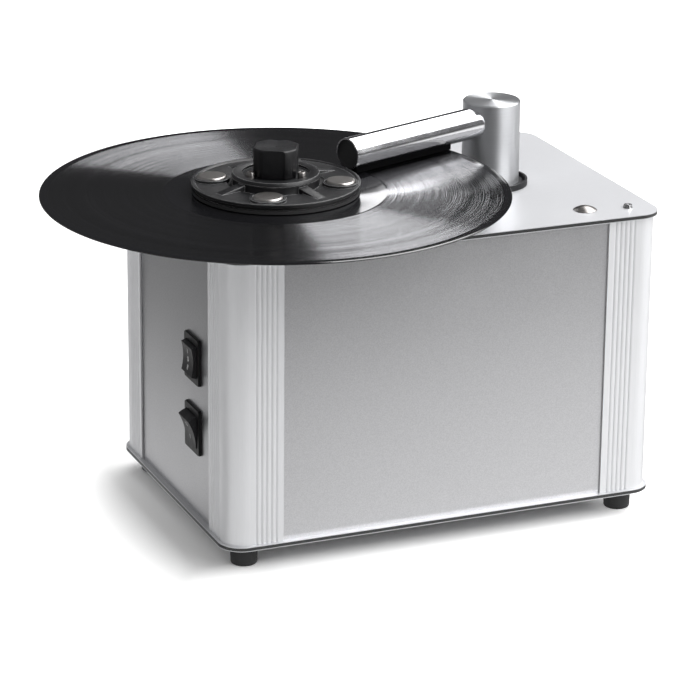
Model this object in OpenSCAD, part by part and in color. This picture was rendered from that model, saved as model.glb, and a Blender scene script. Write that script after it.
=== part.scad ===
// Record cleaning machine: a metal cabinet with a turning platter, a screw-down
// record clamp, a swinging suction arm, and the tank, blower and drive inside it.
// Z is up. The origin is on the floor, under the middle of the whole object.

/* [Cabinet] */
// Width across the outer faces of the corner profiles
body_w = 306; // [290:1:340]
// Depth across the outer faces of the corner profiles
body_d = 210.5; // [204:0.5:240]
// Height from the underside of the bottom plate to the top of the top plate
cabinet_h = 198.3; // [196:0.1:230]
// Thickness of the bottom and top plates
plate_t = 3; // [2.5:0.1:4]
// How far the plates stand out past the corner profiles
plate_overhang = 2.4; // [1:0.1:4]
// Radius of the cabinet's upright corners
corner_r = 14; // [10:0.5:16]
// Height of the rubber feet
foot_h = 15; // [12:0.5:20]
// Radius of a foot where it meets the bottom plate
foot_r = 9.4; // [8:0.05:11]

/* [Profiles and panels] */
// Length of each leg of a corner profile
profile_leg = 38; // [36:0.5:44]
// Thickness of a profile's outer skin
profile_skin = 2.5; // [2:0.1:3]
// Distance of the corner screw from both outer faces
screw_inset = 16.5; // [15:0.1:18]
// Radius of the screw channel's wall
channel_r = 5; // [4:0.1:6]
// Number of grooves in each leg of a corner profile
groove_n = 5; // [1:1:6]
// Distance of the first groove from the corner
groove_first = 19.2; // [17:0.1:19.6]
// Distance from one groove to the next
groove_pitch = 3.45; // [2.6:0.05:3.6]
// Depth of a groove
groove_depth = 0.8; // [0.4:0.1:1]
// Thickness of the side panels
panel_t = 2; // [1.5:0.1:3]
// How far the panels lie behind the profiles' outer faces
panel_recess = 1.5; // [1.2:0.1:2]
// Depth of the slot that holds a panel's edge
panel_slot = 5; // [3:0.5:6]

/* [Switches] */
// Width of a switch's bezel
bezel_w = 27.3; // [25:0.1:28]
// Height of a switch's bezel
bezel_h = 32; // [31.6:0.1:35]
// How far a bezel stands out from its panel
bezel_t = 2; // [1.5:0.1:3]
// Distance of the switches from the cabinet's front face
switch_front = 68.9; // [56:0.05:75]
// Height of the motor switch above the bottom plate's underside
motor_switch_h = 111.3; // [105:0.1:125]
// Height of the vacuum switch above the bottom plate's underside
vacuum_switch_h = 62.6; // [50:0.1:68]
// Half of a rocker's height, measured from its pivot to its tips
rocker_tip_h = 9.8; // [9:0.1:12.4]
// How far a level rocker's tips stand out past the bezel
rocker_proud = 3.35; // [2.5:0.05:5]
// How deep the rocker's face is hollowed
rocker_dish = 1.3; // [1:0.1:3]
// Width of a rocker
rocker_w = 19.4; // [16:0.1:20]
// Tilt of a rocker from level to pressed
rocker_tilt = 15; // [8:1:18]

/* [Record and platter] */
// Radius of the record
record_r = 151; // [148:0.5:153]
// Thickness of the record at its label
record_t = 1.6; // [1.5:0.1:2.6]
// Height of the record's top above the top plate
record_up = 32.85; // [32.4:0.05:36]
// Distance of the spindle from the cabinet's left face
spindle_left = 45.2; // [42:0.1:50]
// Distance of the spindle from the cabinet's front face
spindle_front = 33.65; // [32:0.05:38]
// Radius of the platter
platter_r = 54; // [45:0.5:60]
// Thickness of the platter
platter_t = 6.5; // [5:0.5:9]
// Thickness of the platter's mat
mat_t = 2; // [1:0.5:3]
// Radius of the driven shaft
shaft_r = 6; // [5:0.1:6.5]
// Radius of the spindle pin that centres the record
pin_r = 3.6; // [3.5:0.05:3.7]

/* [Clamp] */
// Radius of the record clamp
clamp_r = 54.3; // [50:0.1:56]
// Height of the clamp's rim above the record
clamp_rim_h = 6.8; // [6:0.1:8]
// Height of the clamp's hub above the record
clamp_hub_h = 12.8; // [12:0.1:14]
// Radius of the clamp's hub
clamp_hub_r = 28.6; // [26:0.1:29.4]
// Distance of the four caps from the clamp's middle
cap_ring_r = 41.4; // [41:0.1:41.5]
// Radius of a cap
cap_r = 9.6; // [8:0.1:9.6]
// Direction of the first cap, seen from above
cap_angle = -28; // [-45:1:45]
// Radius of the knob
knob_r = 15.5; // [12:0.1:16]
// Height of the knob's top above the record
knob_top_h = 29.75; // [28:0.05:36]
// Depth of the knob's finger hollows
knob_hollow = 2.4; // [1.5:0.1:3]
// How far one turn of the knob lifts the clamp
thread_pitch = 2; // [1:0.5:2.5]

/* [Suction arm] */
// Distance of the column from the cabinet's right face
arm_right = 78.3; // [74:0.1:84]
// Distance of the column from the cabinet's front face
arm_front = 101.55; // [98:0.05:110]
// Radius of the column
column_r = 19.5; // [18.5:0.1:20]
// Height of the column above the top plate
column_h = 58.7; // [58.5:0.1:65]
// Height of the tube's axis above the top plate
tube_up = 45.4; // [44.9:0.05:46]
// Outer radius of the suction tube
tube_r = 10.5; // [9.5:0.1:10.6]
// Wall of the suction tube
tube_wall = 1; // [0.6:0.1:1.5]
// Gap between the clamp's rim and the end of the tube
tube_gap = 7.75; // [5:0.05:12]
// Width of the slot under the tube
slot_w = 3; // [2:0.1:3.5]
// Outer radius of the collar round the column
collar_r = 25.5; // [25.2:0.1:28]
// Height of the collar above the top plate
collar_h = 4; // [3:0.1:6]
// How far the arm lifts
arm_travel = 6; // [3:0.5:8]

/* [Tank] */
// Width of the waste tank
tank_w = 104; // [90:1:106]
// Depth of the waste tank
tank_d = 156; // [150:1:170]
// Height of the waste tank without its lid
tank_h = 120; // [90:1:120]
// Wall of the waste tank
tank_wall = 2.5; // [2:0.1:4]
// Distance of the tank plug from the cabinet's right face
plug_right = 45.5; // [44:0.1:50]
// Distance of the tank plug from the cabinet's front face
plug_front = 21.75; // [20:0.05:26]
// Radius of the tank plug's dome
plug_r = 7.85; // [7:0.05:9]
// Height of the tank plug's dome
plug_dome = 2.6; // [1.5:0.1:4]

/* [Blower] */
// Radius of the fan housing
fan_r = 55; // [50:0.5:56]
// Height of the fan housing
fan_h = 35; // [30:1:36]
// Radius of the blower motor
blower_r = 42; // [36:0.5:44]
// Height of the blower motor
blower_h = 76; // [60:1:77]
// Number of blades on the fan wheel
blade_n = 8; // [6:1:12]

/* [Drive] */
// Teeth of the gear on the spindle
gear_teeth = 48; // [40:4:52]
// Teeth of the gear on the motor
pinion_teeth = 16; // [12:4:16]
// Size of one tooth, as pitch diameter over number of teeth
gear_module = 1; // [0.9:0.05:1.05]
// Radius of the drive motor
drive_r = 18.5; // [15:0.5:19]
// Length of the drive motor with its gearbox
drive_h = 56; // [40:1:60]

/* [Hidden] */
$fn = 120;

// Fits and small clearances
eps = 0.01;
seat_gap = 0.3;
run_gap = 0.06;
slip_gap = 0.1;
panel_play = 0.15;
screw_play = 0.3;

// Heights above the floor
floor_z = foot_h + plate_t;
roof_z = foot_h + cabinet_h - plate_t;
top_z = foot_h + cabinet_h;
side_h = roof_z - floor_z;
record_z = top_z + record_up;
record_base_z = record_z - record_t;
mat_z = record_base_z - mat_t;
platter_z = mat_z - platter_t;
tube_z = top_z + tube_up;

// Places seen from above, from the middle of the cabinet
spindle_x = spindle_left - body_w / 2;
spindle_y = spindle_front - body_d / 2;
arm_x = body_w / 2 - arm_right;
arm_y = arm_front - body_d / 2;
plug_x = body_w / 2 - plug_right;
plug_y = plug_front - body_d / 2;
switch_y = switch_front - body_d / 2;
plate_w = body_w + 2 * plate_overhang;
plate_d = body_d + 2 * plate_overhang;
plate_r = corner_r + plate_overhang;
panel_back = panel_recess + panel_t;

// The cabinet's middle lies off the origin, because the record overhangs it
reach_left = min(-plate_w / 2, spindle_x - record_r);
reach_right = max(plate_w / 2, spindle_x + record_r);
reach_front = min(-plate_d / 2, spindle_y - record_r);
reach_back = max(plate_d / 2, spindle_y + record_r);
centre_x = -(reach_left + reach_right) / 2;
centre_y = -(reach_front + reach_back) / 2;

// Screws
m3_r = 1.5;
m3_head_r = 2.75;
m3_head_h = 2;
m4_r = 2;
m4_head_r = 3.2;
m4_head_h = 2.2;
m4_hex_r = 1.45;
corner_screw_l = 18;

// Corner profile
slot_lip = panel_recess - panel_play;
slot_width = panel_t + 2 * panel_play;
slot_back = 1.8;
slot_bridge = 2;
web_t = 2;
groove_w = 1.1;
groove_floor = 0.6;
shoulder_w = 2.6;
shoulder_drop = 0.25;

// Foot
foot_taper = 0.5;
foot_round = 1.4;
foot_pocket_r = 4.2;
foot_pocket_h = 6;
foot_bore_r = m4_r + 0.1;

// Panels
panel_w = body_w - 2 * (profile_leg - panel_slot + panel_play);
panel_d = body_d - 2 * (profile_leg - panel_slot + panel_play);
rear_in_y = body_d / 2 - panel_back;
rear_out_y = body_d / 2 - panel_recess;

// Switches
bezel_r = 2;
bezel_bevel = 0.8;
switch_wall = 1;
switch_depth = 24;
rocker_back = 4.5;
rocker_pivot = bezel_t;
rocker_tip_u = rocker_pivot + rocker_proud;
rocker_round = norm([rocker_tip_u, rocker_tip_h]);
rocker_valley_u = rocker_tip_u - rocker_dish;
rocker_face_r = (rocker_tip_h ^ 2 + rocker_dish ^ 2) / (2 * rocker_dish);
rocker_swing = sqrt(rocker_round ^ 2 - rocker_back ^ 2) * sin(rocker_tilt);
rocker_cavity = rocker_back * cos(rocker_tilt) + rocker_swing + seat_gap;
rocker_pin_r = 1.4;
rocker_pin_l = 0.8;
aperture_w = rocker_w + 2 * seat_gap;
aperture_h = 2 * (rocker_round + seat_gap);
switch_body_w = aperture_w + 2 * switch_wall;
switch_body_h = aperture_h + 2 * switch_wall;
switch_play = 0.1;
terminal_l = 6;
terminal_w = 6;
terminal_t = 0.8;
terminal_up = 6;

// Spindle drive
gear_t = 6;
gear_hub_r = 11;
gear_hub_h = 7;
tooth_addendum = gear_module;
tooth_dedendum = 1.25 * gear_module;
pressure_angle = 20;
backlash = 0.12;
gear_pitch_r = gear_module * gear_teeth / 2;
pinion_pitch_r = gear_module * pinion_teeth / 2;
pinion_angle = 45;
centre_gap = gear_pitch_r + pinion_pitch_r;
drive_x = spindle_x + centre_gap * cos(pinion_angle);
drive_y = spindle_y + centre_gap * sin(pinion_angle);
bracket_t = 2.5;
bracket_drop = 44.3;
bracket_z = roof_z - bracket_drop;
bracket_left = spindle_x - gear_pitch_r - 6;
bracket_right = drive_x + drive_r + 5;
bracket_front = spindle_y - 10.5;
bracket_back = drive_y + drive_r + 6;
bracket_foot = 10;
bush_r = 8.45;
bush_hole_r = bush_r + 0.05;
bush_flange_r = 10.5;
bush_flange_t = 2;
bush_l = 12;
lower_bush_z = bracket_z - 5;
lower_flange_z = bracket_z + bracket_t;
gear_z = lower_flange_z + bush_flange_t + seat_gap;
shaft_foot_z = lower_bush_z - 1;
pinion_shaft_r = 3;
pinion_h = 8;
pinion_z = gear_z - 1;
motor_boss_r = 6;
motor_boss_h = 2;
motor_screw_r = 13;
housing_sleeve_r = 13;
housing_flange_r = 23;
housing_flange_t = 3;
housing_drop = 20;
housing_screw_r = 18.5;
boss_gap = 1.7;
upper_bush_z = top_z + housing_flange_t - bush_l - seat_gap;
boss_z = top_z + housing_flange_t + boss_gap;
boss_r = 16;
shoulder_z = platter_z + 2;

// Record
label_r = 50;
label_slope = 1.5;
groove_end_r = 146.3;
bead_start = 2.6;
bead_t = 1.3;
bead_round = 0.6;
bead_edge = 0.3;
record_relief = 0.3;

// Clamp, with heights above the record
seal_h = 2.3;
seal_r = clamp_r - 0.4;
seal_in_r = 45;
neck_h = 4.6;
neck_r = clamp_r - 2;
dish_h = 6;
rim_w = 2;
rim_bevel = 0.5;
hub_bevel = 1;
hub_bevel_h = 2.2;
hub_side_h = clamp_hub_h - hub_bevel_h;
hub_recess = 1.8;
hub_floor_h = clamp_hub_h - hub_recess;
channel_w = 3;
channel_h = 5;
cap_boss_w = 2.1;
cap_boss_h = 7.8;
cap_pocket_gap = 0.4;
cap_h = 3.3;
cap_bevel = 0.8;
rib_w = 7;
rib_end_r = 46;
rib_top_h = 9.3;
root_h = channel_h - 1;
nut_r = 7;
nut_hole_r = nut_r + 0.4;
nut_flange_r = 10;
nut_foot_h = 0.5;
nut_flange_t = 1.5;
knob_turns = 6;
thread_hold = 6.5;
pin_top_h = nut_foot_h + knob_turns * thread_pitch + thread_hold;
nut_top_h = pin_top_h + 5;
knob_foot_h = hub_floor_h + seat_gap;
knob_bevel = 0.9;
knob_dish = 0.8;
hollow_half_angle = 28;
hollow_edge_x = knob_r * cos(hollow_half_angle);
hollow_edge_y = knob_r * sin(hollow_half_angle);
hollow_sag = hollow_edge_x - (knob_r - knob_hollow);
hollow_r = (hollow_edge_y ^ 2 + hollow_sag ^ 2) / (2 * hollow_sag);
post_n = 3;
post_angle = -51;
post_r = 2.6;
post_h = 4.2;
post_l = 4.5;
post_thread_r = 1.2;
post_gap = 0.6;
post_ring_r = knob_r + post_gap + post_r;
hub_recess_r = post_ring_r + post_r + post_gap;

// Suction arm
arm_angle = atan2(spindle_y - arm_y, spindle_x - arm_x);
arm_reach = norm([spindle_x - arm_x, spindle_y - arm_y]);
tube_end = arm_reach - clamp_r - tube_gap;
tube_start = column_r - 5;
column_wall = 4.5;
column_bore_r = column_r - column_wall;
column_foot_z = top_z - 28;
column_bevel = 0.8;
plug_recess = 1.8;
plug_disc_t = 3;
strip_gap = 0.3;
strip_w = 4.5;
strip_margin = 3;
strip_start = 44;
slot_end = tube_end - plug_recess - plug_disc_t - 1;
bush_wall = 2.3;
arm_bush_r = column_r + run_gap + bush_wall;
sleeve_in_r = arm_bush_r + 0.05;
sleeve_r = sleeve_in_r + 2;
sleeve_l = 45.3;
sleeve_foot_z = top_z - sleeve_l;
sleeve_floor = 4;
collar_wall = 1.5;
collar_floor = 1.2;
bush_top_z = top_z + 2.2;
nut_ring_w = 8;
nut_ring_h = 6;
nut_notch_r = 2.5;
seat_t = 3;
seat_in_r = 15;
spigot_r = 12;
spigot_bore_r = 10;
spigot_l = 12;
hose_wall = 3;
suction_wall = 2;
hose_bore_r = spigot_r + 0.05;
hose_r = hose_bore_r + hose_wall;
hose_foot_gap = 1.5;
hose_top_gap = 1;
spring_r = 17;
spring_wire_r = 0.9;
spring_turns = 3;
spring_sides = 8;
spring_steps = 16;
seat_z = column_foot_z - seat_gap - seat_t;
seat_r = sleeve_in_r - 1;
bush_foot_z = column_foot_z + arm_travel;
sleeve_floor_z = sleeve_foot_z + sleeve_floor;

// Tank
lid_t = 3.5;
lid_lip = 2;
lid_skirt = 5;
tank_right = 27;
tank_front = 9.25;
tank_x = body_w / 2 - tank_right - tank_w;
tank_y = tank_front - body_d / 2;
tank_top_z = floor_z + tank_h;
lid_z = tank_top_z + lid_t;
neck_wall = 2.7;
plug_stem_r = 5.8;
plug_bore_r = plug_stem_r + 0.5;
plug_stem_l = 14;
plug_groove = 0.8;
baffle_h = 60;
baffle_t = 2;
outlet_x = tank_x + 13;
outlet_y = tank_y + tank_d - 20;
outlet_l = 13.5;

// Blower
blower_left = 98;
blower_front = 130.25;
blower_x = blower_left - body_w / 2;
blower_y = blower_front - body_d / 2;
mount_h = 18;
mount_wall = 4;
mount_hole_r = 30;
mount_lip = 10;
blower_z = floor_z + mount_h;
blower_flange_t = 3;
fan_z = blower_z + blower_h + blower_flange_t;
fan_wall = 2.5;
fan_top_z = fan_z + fan_h;
wheel_r = fan_r - 9;
wheel_z = fan_z + 3;
wheel_h = 22;
wheel_plate = 1.6;
wheel_hub_r = 10;
wheel_eye_r = 20;
blade_t = 1.6;
blower_shaft_r = 4;
blower_shaft_l = 40;
fan_spigot_l = 15;
outlet_r = 13;
outlet_bore_r = 10.5;
outlet_z = fan_z + 18;
duct_l = 12;
duct_grip = 4;
outlet_end_y = rear_out_y - duct_l + duct_grip;
hose_bend_r = 22;
hose_grip = 12;
hose_rise = 3;

// Rear fittings
grille_w = 46;
grille_t = 2.5;
grille_slot_h = 3;
grille_slot_w = 26;
grille_slot_n = 5;
grille_pitch = 5.4;
grille_corner = 5;
duct_r = outlet_r + 0.05 + 2.5;
inlet_left = 68;
inlet_x = inlet_left - body_w / 2;
inlet_z = foot_h + 37;
inlet_w = 27;
inlet_h = 47;
inlet_flange = 2.5;
inlet_depth = 22;
socket_w = 22;
socket_h = 15;
socket_up = 9;
socket_depth = 17;
prong_w = 2;
prong_h = 5;
prong_l = 12;
prong_gap = 7;
drawer_w = 20;
drawer_h = 12;
drawer_down = 13;
drawer_depth = 16;
drawer_wall = 1.5;
pull_w = 8;
pull_t = 1.5;

// Electronics
left_in_x = panel_back - body_w / 2;
board_gap = 11.5;
board_t = 1.6;
board_front = 100.25;
board_y0 = board_front - body_d / 2;
board_d = 72;
capacitor_inset = 14;
capacitor_r = 5;
capacitor_l = 14;
capacitor_pitch = 13;
capacitor_up = 28;
board_z0 = foot_h + 20;
board_h = 70;
spacer_r = 3;
spacer_inset = 6;
part_d = 40;
core_h = 40;
core_t = 30;
coil_margin = 6;
coil_inset = 3;
core_front = 10;
core_up = 20;
wire_r = 2.4;
wire_gap = 0.3;
wire_sides = 8;
wire_steps = 6;
blower_lead_angle = 216.6;
blower_lead_up = 44;

// Where the leads end, each a small gap off its piece
function terminal(h, up) = [
  panel_recess - body_w / 2 + switch_depth + terminal_l + wire_gap,
  switch_y,
  foot_h + h + up * terminal_up
];
board_face = [left_in_x + board_gap + board_t + wire_gap, board_y0, board_z0];
inlet_end = [inlet_x, rear_out_y - inlet_depth - wire_gap, inlet_z];
motor_end = [drive_x, drive_y, bracket_z - drive_h - wire_gap];
blower_end = [
  blower_x + (blower_r + wire_gap) * cos(blower_lead_angle),
  blower_y + (blower_r + wire_gap) * sin(blower_lead_angle),
  blower_z + blower_lead_up
];

function counted_from(end, steps) = [for (p = steps) end + p];

// Routes of the leads, whose points are counted from the piece at their nearer end
wire_routes = [
  concat(
    counted_from(inlet_end, [[0, 0, 0], [0, -4.5, 0], [-9, -9.5, -5], [-27, -12.5, -10]]),
    counted_from(board_face, [[7, 67, 5], [0, 67, 5]])
  ),
  concat(
    counted_from(terminal(vacuum_switch_h, -1), [[0, 0, 0], [5, 0, 0], [11, 10, -4.5], [9, 30, -10.5]]),
    counted_from(board_face, [[10, 5, 25], [0, 5, 25]])
  ),
  concat(
    counted_from(terminal(motor_switch_h, -1), [[0, 0, 0], [6, 0, -1], [19, -2, -16]]),
    counted_from(motor_end, [[-5, 1, -16], [0, 0, -11], [0, 0, 0]])
  ),
  concat(
    counted_from(terminal(vacuum_switch_h, 1), [[0, 0, 0], [5, 0, 0.5], [12, 14, -0.5]]),
    counted_from(blower_end, [[-12.5, -9, 1], [0, 0, 0]])
  )
];

module place() translate([centre_x, centre_y, 0]) children();

// General shapes
module rounded_rect(w, d, r) {
  square([w - 2 * r, d], center = true);
  square([w, d - 2 * r], center = true);
  for (sx = [-1, 1], sy = [-1, 1])
    translate([sx * (w / 2 - r), sy * (d / 2 - r)]) circle(r);
}

module pipe(r, bore, z0, z1) {
  difference() {
    translate([0, 0, z0]) cylinder(r = r, h = z1 - z0);
    translate([0, 0, z0 - 1]) cylinder(r = bore, h = z1 - z0 + 2);
  }
}

module at_corners() {
  for (sx = [-1, 1], sy = [-1, 1])
    translate([sx * (body_w / 2 - screw_inset), sy * (body_d / 2 - screw_inset), 0]) children();
}

module ring_of(n, r, phase = 0) {
  for (i = [0:n - 1])
    rotate([0, 0, phase + i * 360 / n]) translate([r, 0, 0]) children();
}

// A screw with its head up, its head's underside at z = 0
module screw(r, head_r, head_h, l) {
  difference() {
    union() {
      translate([0, 0, -l]) cylinder(r = r, h = l + eps);
      cylinder(r1 = head_r, r2 = head_r * 0.86, h = head_h);
    }
    translate([0, 0, head_h * 0.45]) cylinder(r = r * 0.72, h = head_h, $fn = 6);
  }
}

// Plates
module bottom_plate() place() color("silver") {
  translate([0, 0, foot_h]) difference() {
    linear_extrude(plate_t) rounded_rect(plate_w, plate_d, plate_r);
    at_corners() translate([0, 0, -1]) cylinder(r = m4_r + screw_play, h = plate_t + 2);
  }
}

module top_plate() place() color("gainsboro") {
  translate([0, 0, roof_z]) difference() {
    linear_extrude(plate_t) rounded_rect(plate_w, plate_d, plate_r);
    at_corners() translate([0, 0, -1]) cylinder(r = m4_r + screw_play, h = plate_t + 2);
    translate([spindle_x, spindle_y, -1]) {
      cylinder(r = housing_sleeve_r + screw_play, h = plate_t + 2);
      ring_of(3, housing_screw_r, 90) cylinder(r = m3_r, h = plate_t + 2);
    }
    translate([arm_x, arm_y, -1]) cylinder(r = sleeve_r + screw_play, h = plate_t + 2);
    translate([plug_x, plug_y, -1]) cylinder(r = plug_bore_r, h = plate_t + 2);
    bracket_screw_places() translate([0, 0, -1]) cylinder(r = m3_r, h = plate_t);
  }
}

// Corner profiles
module corner_square(r, s) {
  translate([r, 0]) square([s - r, s]);
  translate([0, r]) square([r, s - r]);
  translate([r, r]) circle(r);
}

// A profile's second leg is its first with x and y swapped
function on_leg(leg, p) = leg == 0 ? p : [p[1], p[0]];

module leg_rect(leg, corner, size) translate(on_leg(leg, corner)) square(on_leg(leg, size));

module leg_cuts(leg) {
  leg_rect(leg, [profile_leg - panel_slot, slot_lip], [panel_slot + 1, slot_width]);
  for (i = [0:groove_n - 1])
    translate(on_leg(leg, [groove_first + i * groove_pitch, 0]))
      polygon([for (p = [
        [-shoulder_w / 2, -eps], [shoulder_w / 2, -eps], [groove_w / 2, shoulder_drop],
        [groove_floor / 2, groove_depth], [-groove_floor / 2, groove_depth], [-groove_w / 2, shoulder_drop]
      ]) on_leg(leg, p)]);
}

module profile_section() {
  difference() {
    union() {
      difference() {
        corner_square(corner_r, profile_leg);
        translate([profile_skin, profile_skin])
          corner_square(corner_r - profile_skin, profile_leg);
      }
      for (leg = [0, 1]) {
        leg_rect(leg, [profile_leg - panel_slot - slot_bridge, slot_lip],
                 [panel_slot + slot_bridge, slot_width + slot_back]);
        leg_rect(leg, [profile_skin / 2, screw_inset - web_t / 2], [screw_inset - profile_skin / 2, web_t]);
      }
      translate([screw_inset, screw_inset]) circle(channel_r);
    }
    for (leg = [0, 1]) leg_cuts(leg);
    translate([screw_inset, screw_inset]) circle(m4_r + 0.05);
  }
}

module corner_profile(sx, sy) {
  translate([sx * body_w / 2, sy * body_d / 2, floor_z])
    mirror([sx > 0 ? 1 : 0, 0, 0])
      mirror([0, sy > 0 ? 1 : 0, 0])
        linear_extrude(side_h) profile_section();
}

module corner_front_left() place() color("lightgray") corner_profile(-1, -1);
module corner_front_right() place() color("lightgray") corner_profile(1, -1);
module corner_rear_left() place() color("lightgray") corner_profile(-1, 1);
module corner_rear_right() place() color("lightgray") corner_profile(1, 1);

// Panels
module front_panel() place() color("silver") {
  translate([-panel_w / 2, panel_recess - body_d / 2, floor_z]) cube([panel_w, panel_t, side_h]);
}

module rear_panel() place() color("silver") {
  difference() {
    translate([-panel_w / 2, rear_in_y, floor_z]) cube([panel_w, panel_t, side_h]);
    translate([blower_x, rear_in_y - 1, outlet_z]) rotate([-90, 0, 0])
      cylinder(r = duct_r + screw_play, h = panel_t + 2);
    translate([inlet_x - inlet_w / 2 - slip_gap, rear_in_y - 1, inlet_z - inlet_h / 2 - slip_gap])
      cube([inlet_w + 2 * slip_gap, panel_t + 2, inlet_h + 2 * slip_gap]);
  }
}

module right_panel() place() color("silver") {
  translate([body_w / 2 - panel_back, -panel_d / 2, floor_z]) cube([panel_t, panel_d, side_h]);
}

module switch_panel() place() color("silver") {
  difference() {
    translate([panel_recess - body_w / 2, -panel_d / 2, floor_z]) cube([panel_t, panel_d, side_h]);
    for (h = [motor_switch_h, vacuum_switch_h])
      translate([panel_recess - body_w / 2 - 1, switch_y - switch_body_w / 2 - switch_play,
                 foot_h + h - switch_body_h / 2 - switch_play])
        cube([panel_t + 2, switch_body_w + 2 * switch_play, switch_body_h + 2 * switch_play]);
  }
}

// Feet and screws
module foot() {
  low_r = foot_r - foot_taper;
  difference() {
    rotate_extrude() {
      polygon([[0, 0], [low_r - foot_round, 0], [low_r, foot_round], [foot_r, foot_h], [0, foot_h]]);
      translate([low_r - foot_round, foot_round]) intersection() {
        circle(foot_round);
        square([foot_r, 2 * foot_round], center = true);
      }
    }
    translate([0, 0, -1]) cylinder(r = foot_pocket_r, h = foot_pocket_h + 1);
    translate([0, 0, -1]) cylinder(r = foot_bore_r, h = foot_h + 2);
  }
}

module feet() place() color("#222222") at_corners() foot();

module foot_screws() place() color("silver") {
  at_corners() translate([0, 0, foot_pocket_h]) mirror([0, 0, 1])
    screw(m4_r, m4_head_r, m4_head_h, foot_h - foot_pocket_h + plate_t + corner_screw_l);
}

module top_screws() place() color("silver") {
  at_corners() translate([0, 0, top_z]) screw(m4_r, m4_head_r, m4_head_h, plate_t + corner_screw_l);
}

// Switches, drawn with x outwards, y across and z up from the pivot
module at_switch(h, tilt = 0) {
  translate([panel_recess - body_w / 2, switch_y, foot_h + h])
    mirror([1, 0, 0]) rotate([0, tilt, 0]) children();
}

module switch_frame() {
  difference() {
    union() {
      rotate([90, 0, 90]) linear_extrude(bezel_t - bezel_bevel) rounded_rect(bezel_w, bezel_h, bezel_r);
      translate([bezel_t - bezel_bevel, 0, 0]) rotate([90, 0, 90]) linear_extrude(bezel_bevel)
        rounded_rect(bezel_w - bezel_bevel, bezel_h - bezel_bevel, bezel_r - bezel_bevel / 2);
      translate([-switch_depth, -switch_body_w / 2, -switch_body_h / 2])
        cube([switch_depth + eps, switch_body_w, switch_body_h]);
      for (up = [-1, 1])
        translate([-switch_depth - terminal_l, -terminal_w / 2, up * terminal_up - terminal_t / 2])
          cube([terminal_l + eps, terminal_w, terminal_t]);
    }
    translate([-rocker_cavity, -aperture_w / 2, -aperture_h / 2])
      cube([rocker_cavity + bezel_t + 1, aperture_w, aperture_h]);
    rotate([90, 0, 0]) cylinder(r = rocker_pin_r + run_gap, h = aperture_w + 1.7, center = true);
  }
}

module rocker() {
  rotate([90, 0, 0]) linear_extrude(rocker_w, center = true) difference() {
    intersection() {
      circle(rocker_round);
      translate([-rocker_back, -rocker_round]) square([rocker_back + rocker_tip_u, 2 * rocker_round]);
    }
    translate([rocker_valley_u + rocker_face_r, 0]) circle(rocker_face_r);
  }
  rotate([90, 0, 0])
    cylinder(r = rocker_pin_r, h = aperture_w + 2 * rocker_pin_l - 2 * slip_gap, center = true);
}

module motor_switch() place() color("#1c1c1e") at_switch(motor_switch_h) switch_frame();
module vacuum_switch() place() color("#1c1c1e") at_switch(vacuum_switch_h) switch_frame();
module motor_rocker() place() color("#2a2a2d") at_switch(motor_switch_h) rocker();
module vacuum_rocker() place() color("#2a2a2d") at_switch(vacuum_switch_h, rocker_tilt) rocker();

// Gears with involute flanks
function involute(r, base_r) = r <= base_r ? 0
  : tan(acos(base_r / r)) * 180 / PI - acos(base_r / r);

function tooth_half(r, pitch_r, base_r, teeth) =
  90 / teeth + involute(pitch_r, base_r) - involute(r, base_r) - backlash / pitch_r * 45 / PI;

function gear_points(teeth, phase) =
  let (
    pitch_r = gear_module * teeth / 2,
    base_r = pitch_r * cos(pressure_angle),
    root_r = pitch_r - tooth_dedendum,
    tip_r = pitch_r + tooth_addendum,
    start_r = max(root_r, base_r),
    radii = [root_r, start_r + eps, (start_r + pitch_r) / 2, pitch_r, (pitch_r + tip_r) / 2, tip_r]
  )
  [for (i = [0:teeth - 1], side = [-1, 1], k = [0:5])
    let (
      r = radii[side < 0 ? k : 5 - k],
      a = phase + i * 360 / teeth + side * tooth_half(r, pitch_r, base_r, teeth)
    )
    [r * cos(a), r * sin(a)]
  ];

// Spindle drive
module bracket_screw_places() {
  for (y = [bracket_front + 8, bracket_back - 8]) {
    translate([bracket_left + bracket_t + bracket_foot / 2, y, 0]) children();
    translate([bracket_right + bracket_foot / 2, y, 0]) children();
  }
}

module drive_bracket() place() color("lightsteelblue") {
  bracket_l = bracket_back - bracket_front;
  difference() {
    union() {
      translate([bracket_left, bracket_front, bracket_z])
        cube([bracket_right - bracket_left, bracket_l, bracket_t]);
      for (x = [bracket_left, bracket_right - bracket_t])
        translate([x, bracket_front, bracket_z]) cube([bracket_t, bracket_l, bracket_drop]);
      for (x = [bracket_left, bracket_right - eps])
        translate([x, bracket_front, roof_z - bracket_t])
          cube([bracket_foot + bracket_t, bracket_l, bracket_t]);
    }
    translate([spindle_x, spindle_y, bracket_z - 1]) cylinder(r = bush_hole_r, h = bracket_t + 2);
    translate([drive_x, drive_y, bracket_z - 1]) cylinder(r = motor_boss_r + slip_gap, h = bracket_t + 2);
    translate([drive_x, drive_y, bracket_z - 1]) ring_of(3, motor_screw_r, pinion_angle)
      cylinder(r = m3_r + slip_gap, h = bracket_t + 2);
    bracket_screw_places() translate([0, 0, roof_z - bracket_t - 1])
      cylinder(r = m3_r + slip_gap, h = bracket_t + 2);
  }
}

module drive_motor() place() color("dimgray") {
  translate([drive_x, drive_y, bracket_z]) difference() {
    union() {
      translate([0, 0, -drive_h * 0.45]) cylinder(r = drive_r, h = drive_h * 0.45);
      translate([0, 0, -drive_h]) cylinder(r = drive_r - 1.2, h = drive_h * 0.55 + eps);
      cylinder(r = motor_boss_r, h = motor_boss_h);
    }
    translate([0, 0, -drive_h / 2]) cylinder(r = pinion_shaft_r + run_gap, h = drive_h);
    ring_of(3, motor_screw_r, pinion_angle) translate([0, 0, -6]) cylinder(r = m3_r, h = 7);
  }
}

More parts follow.
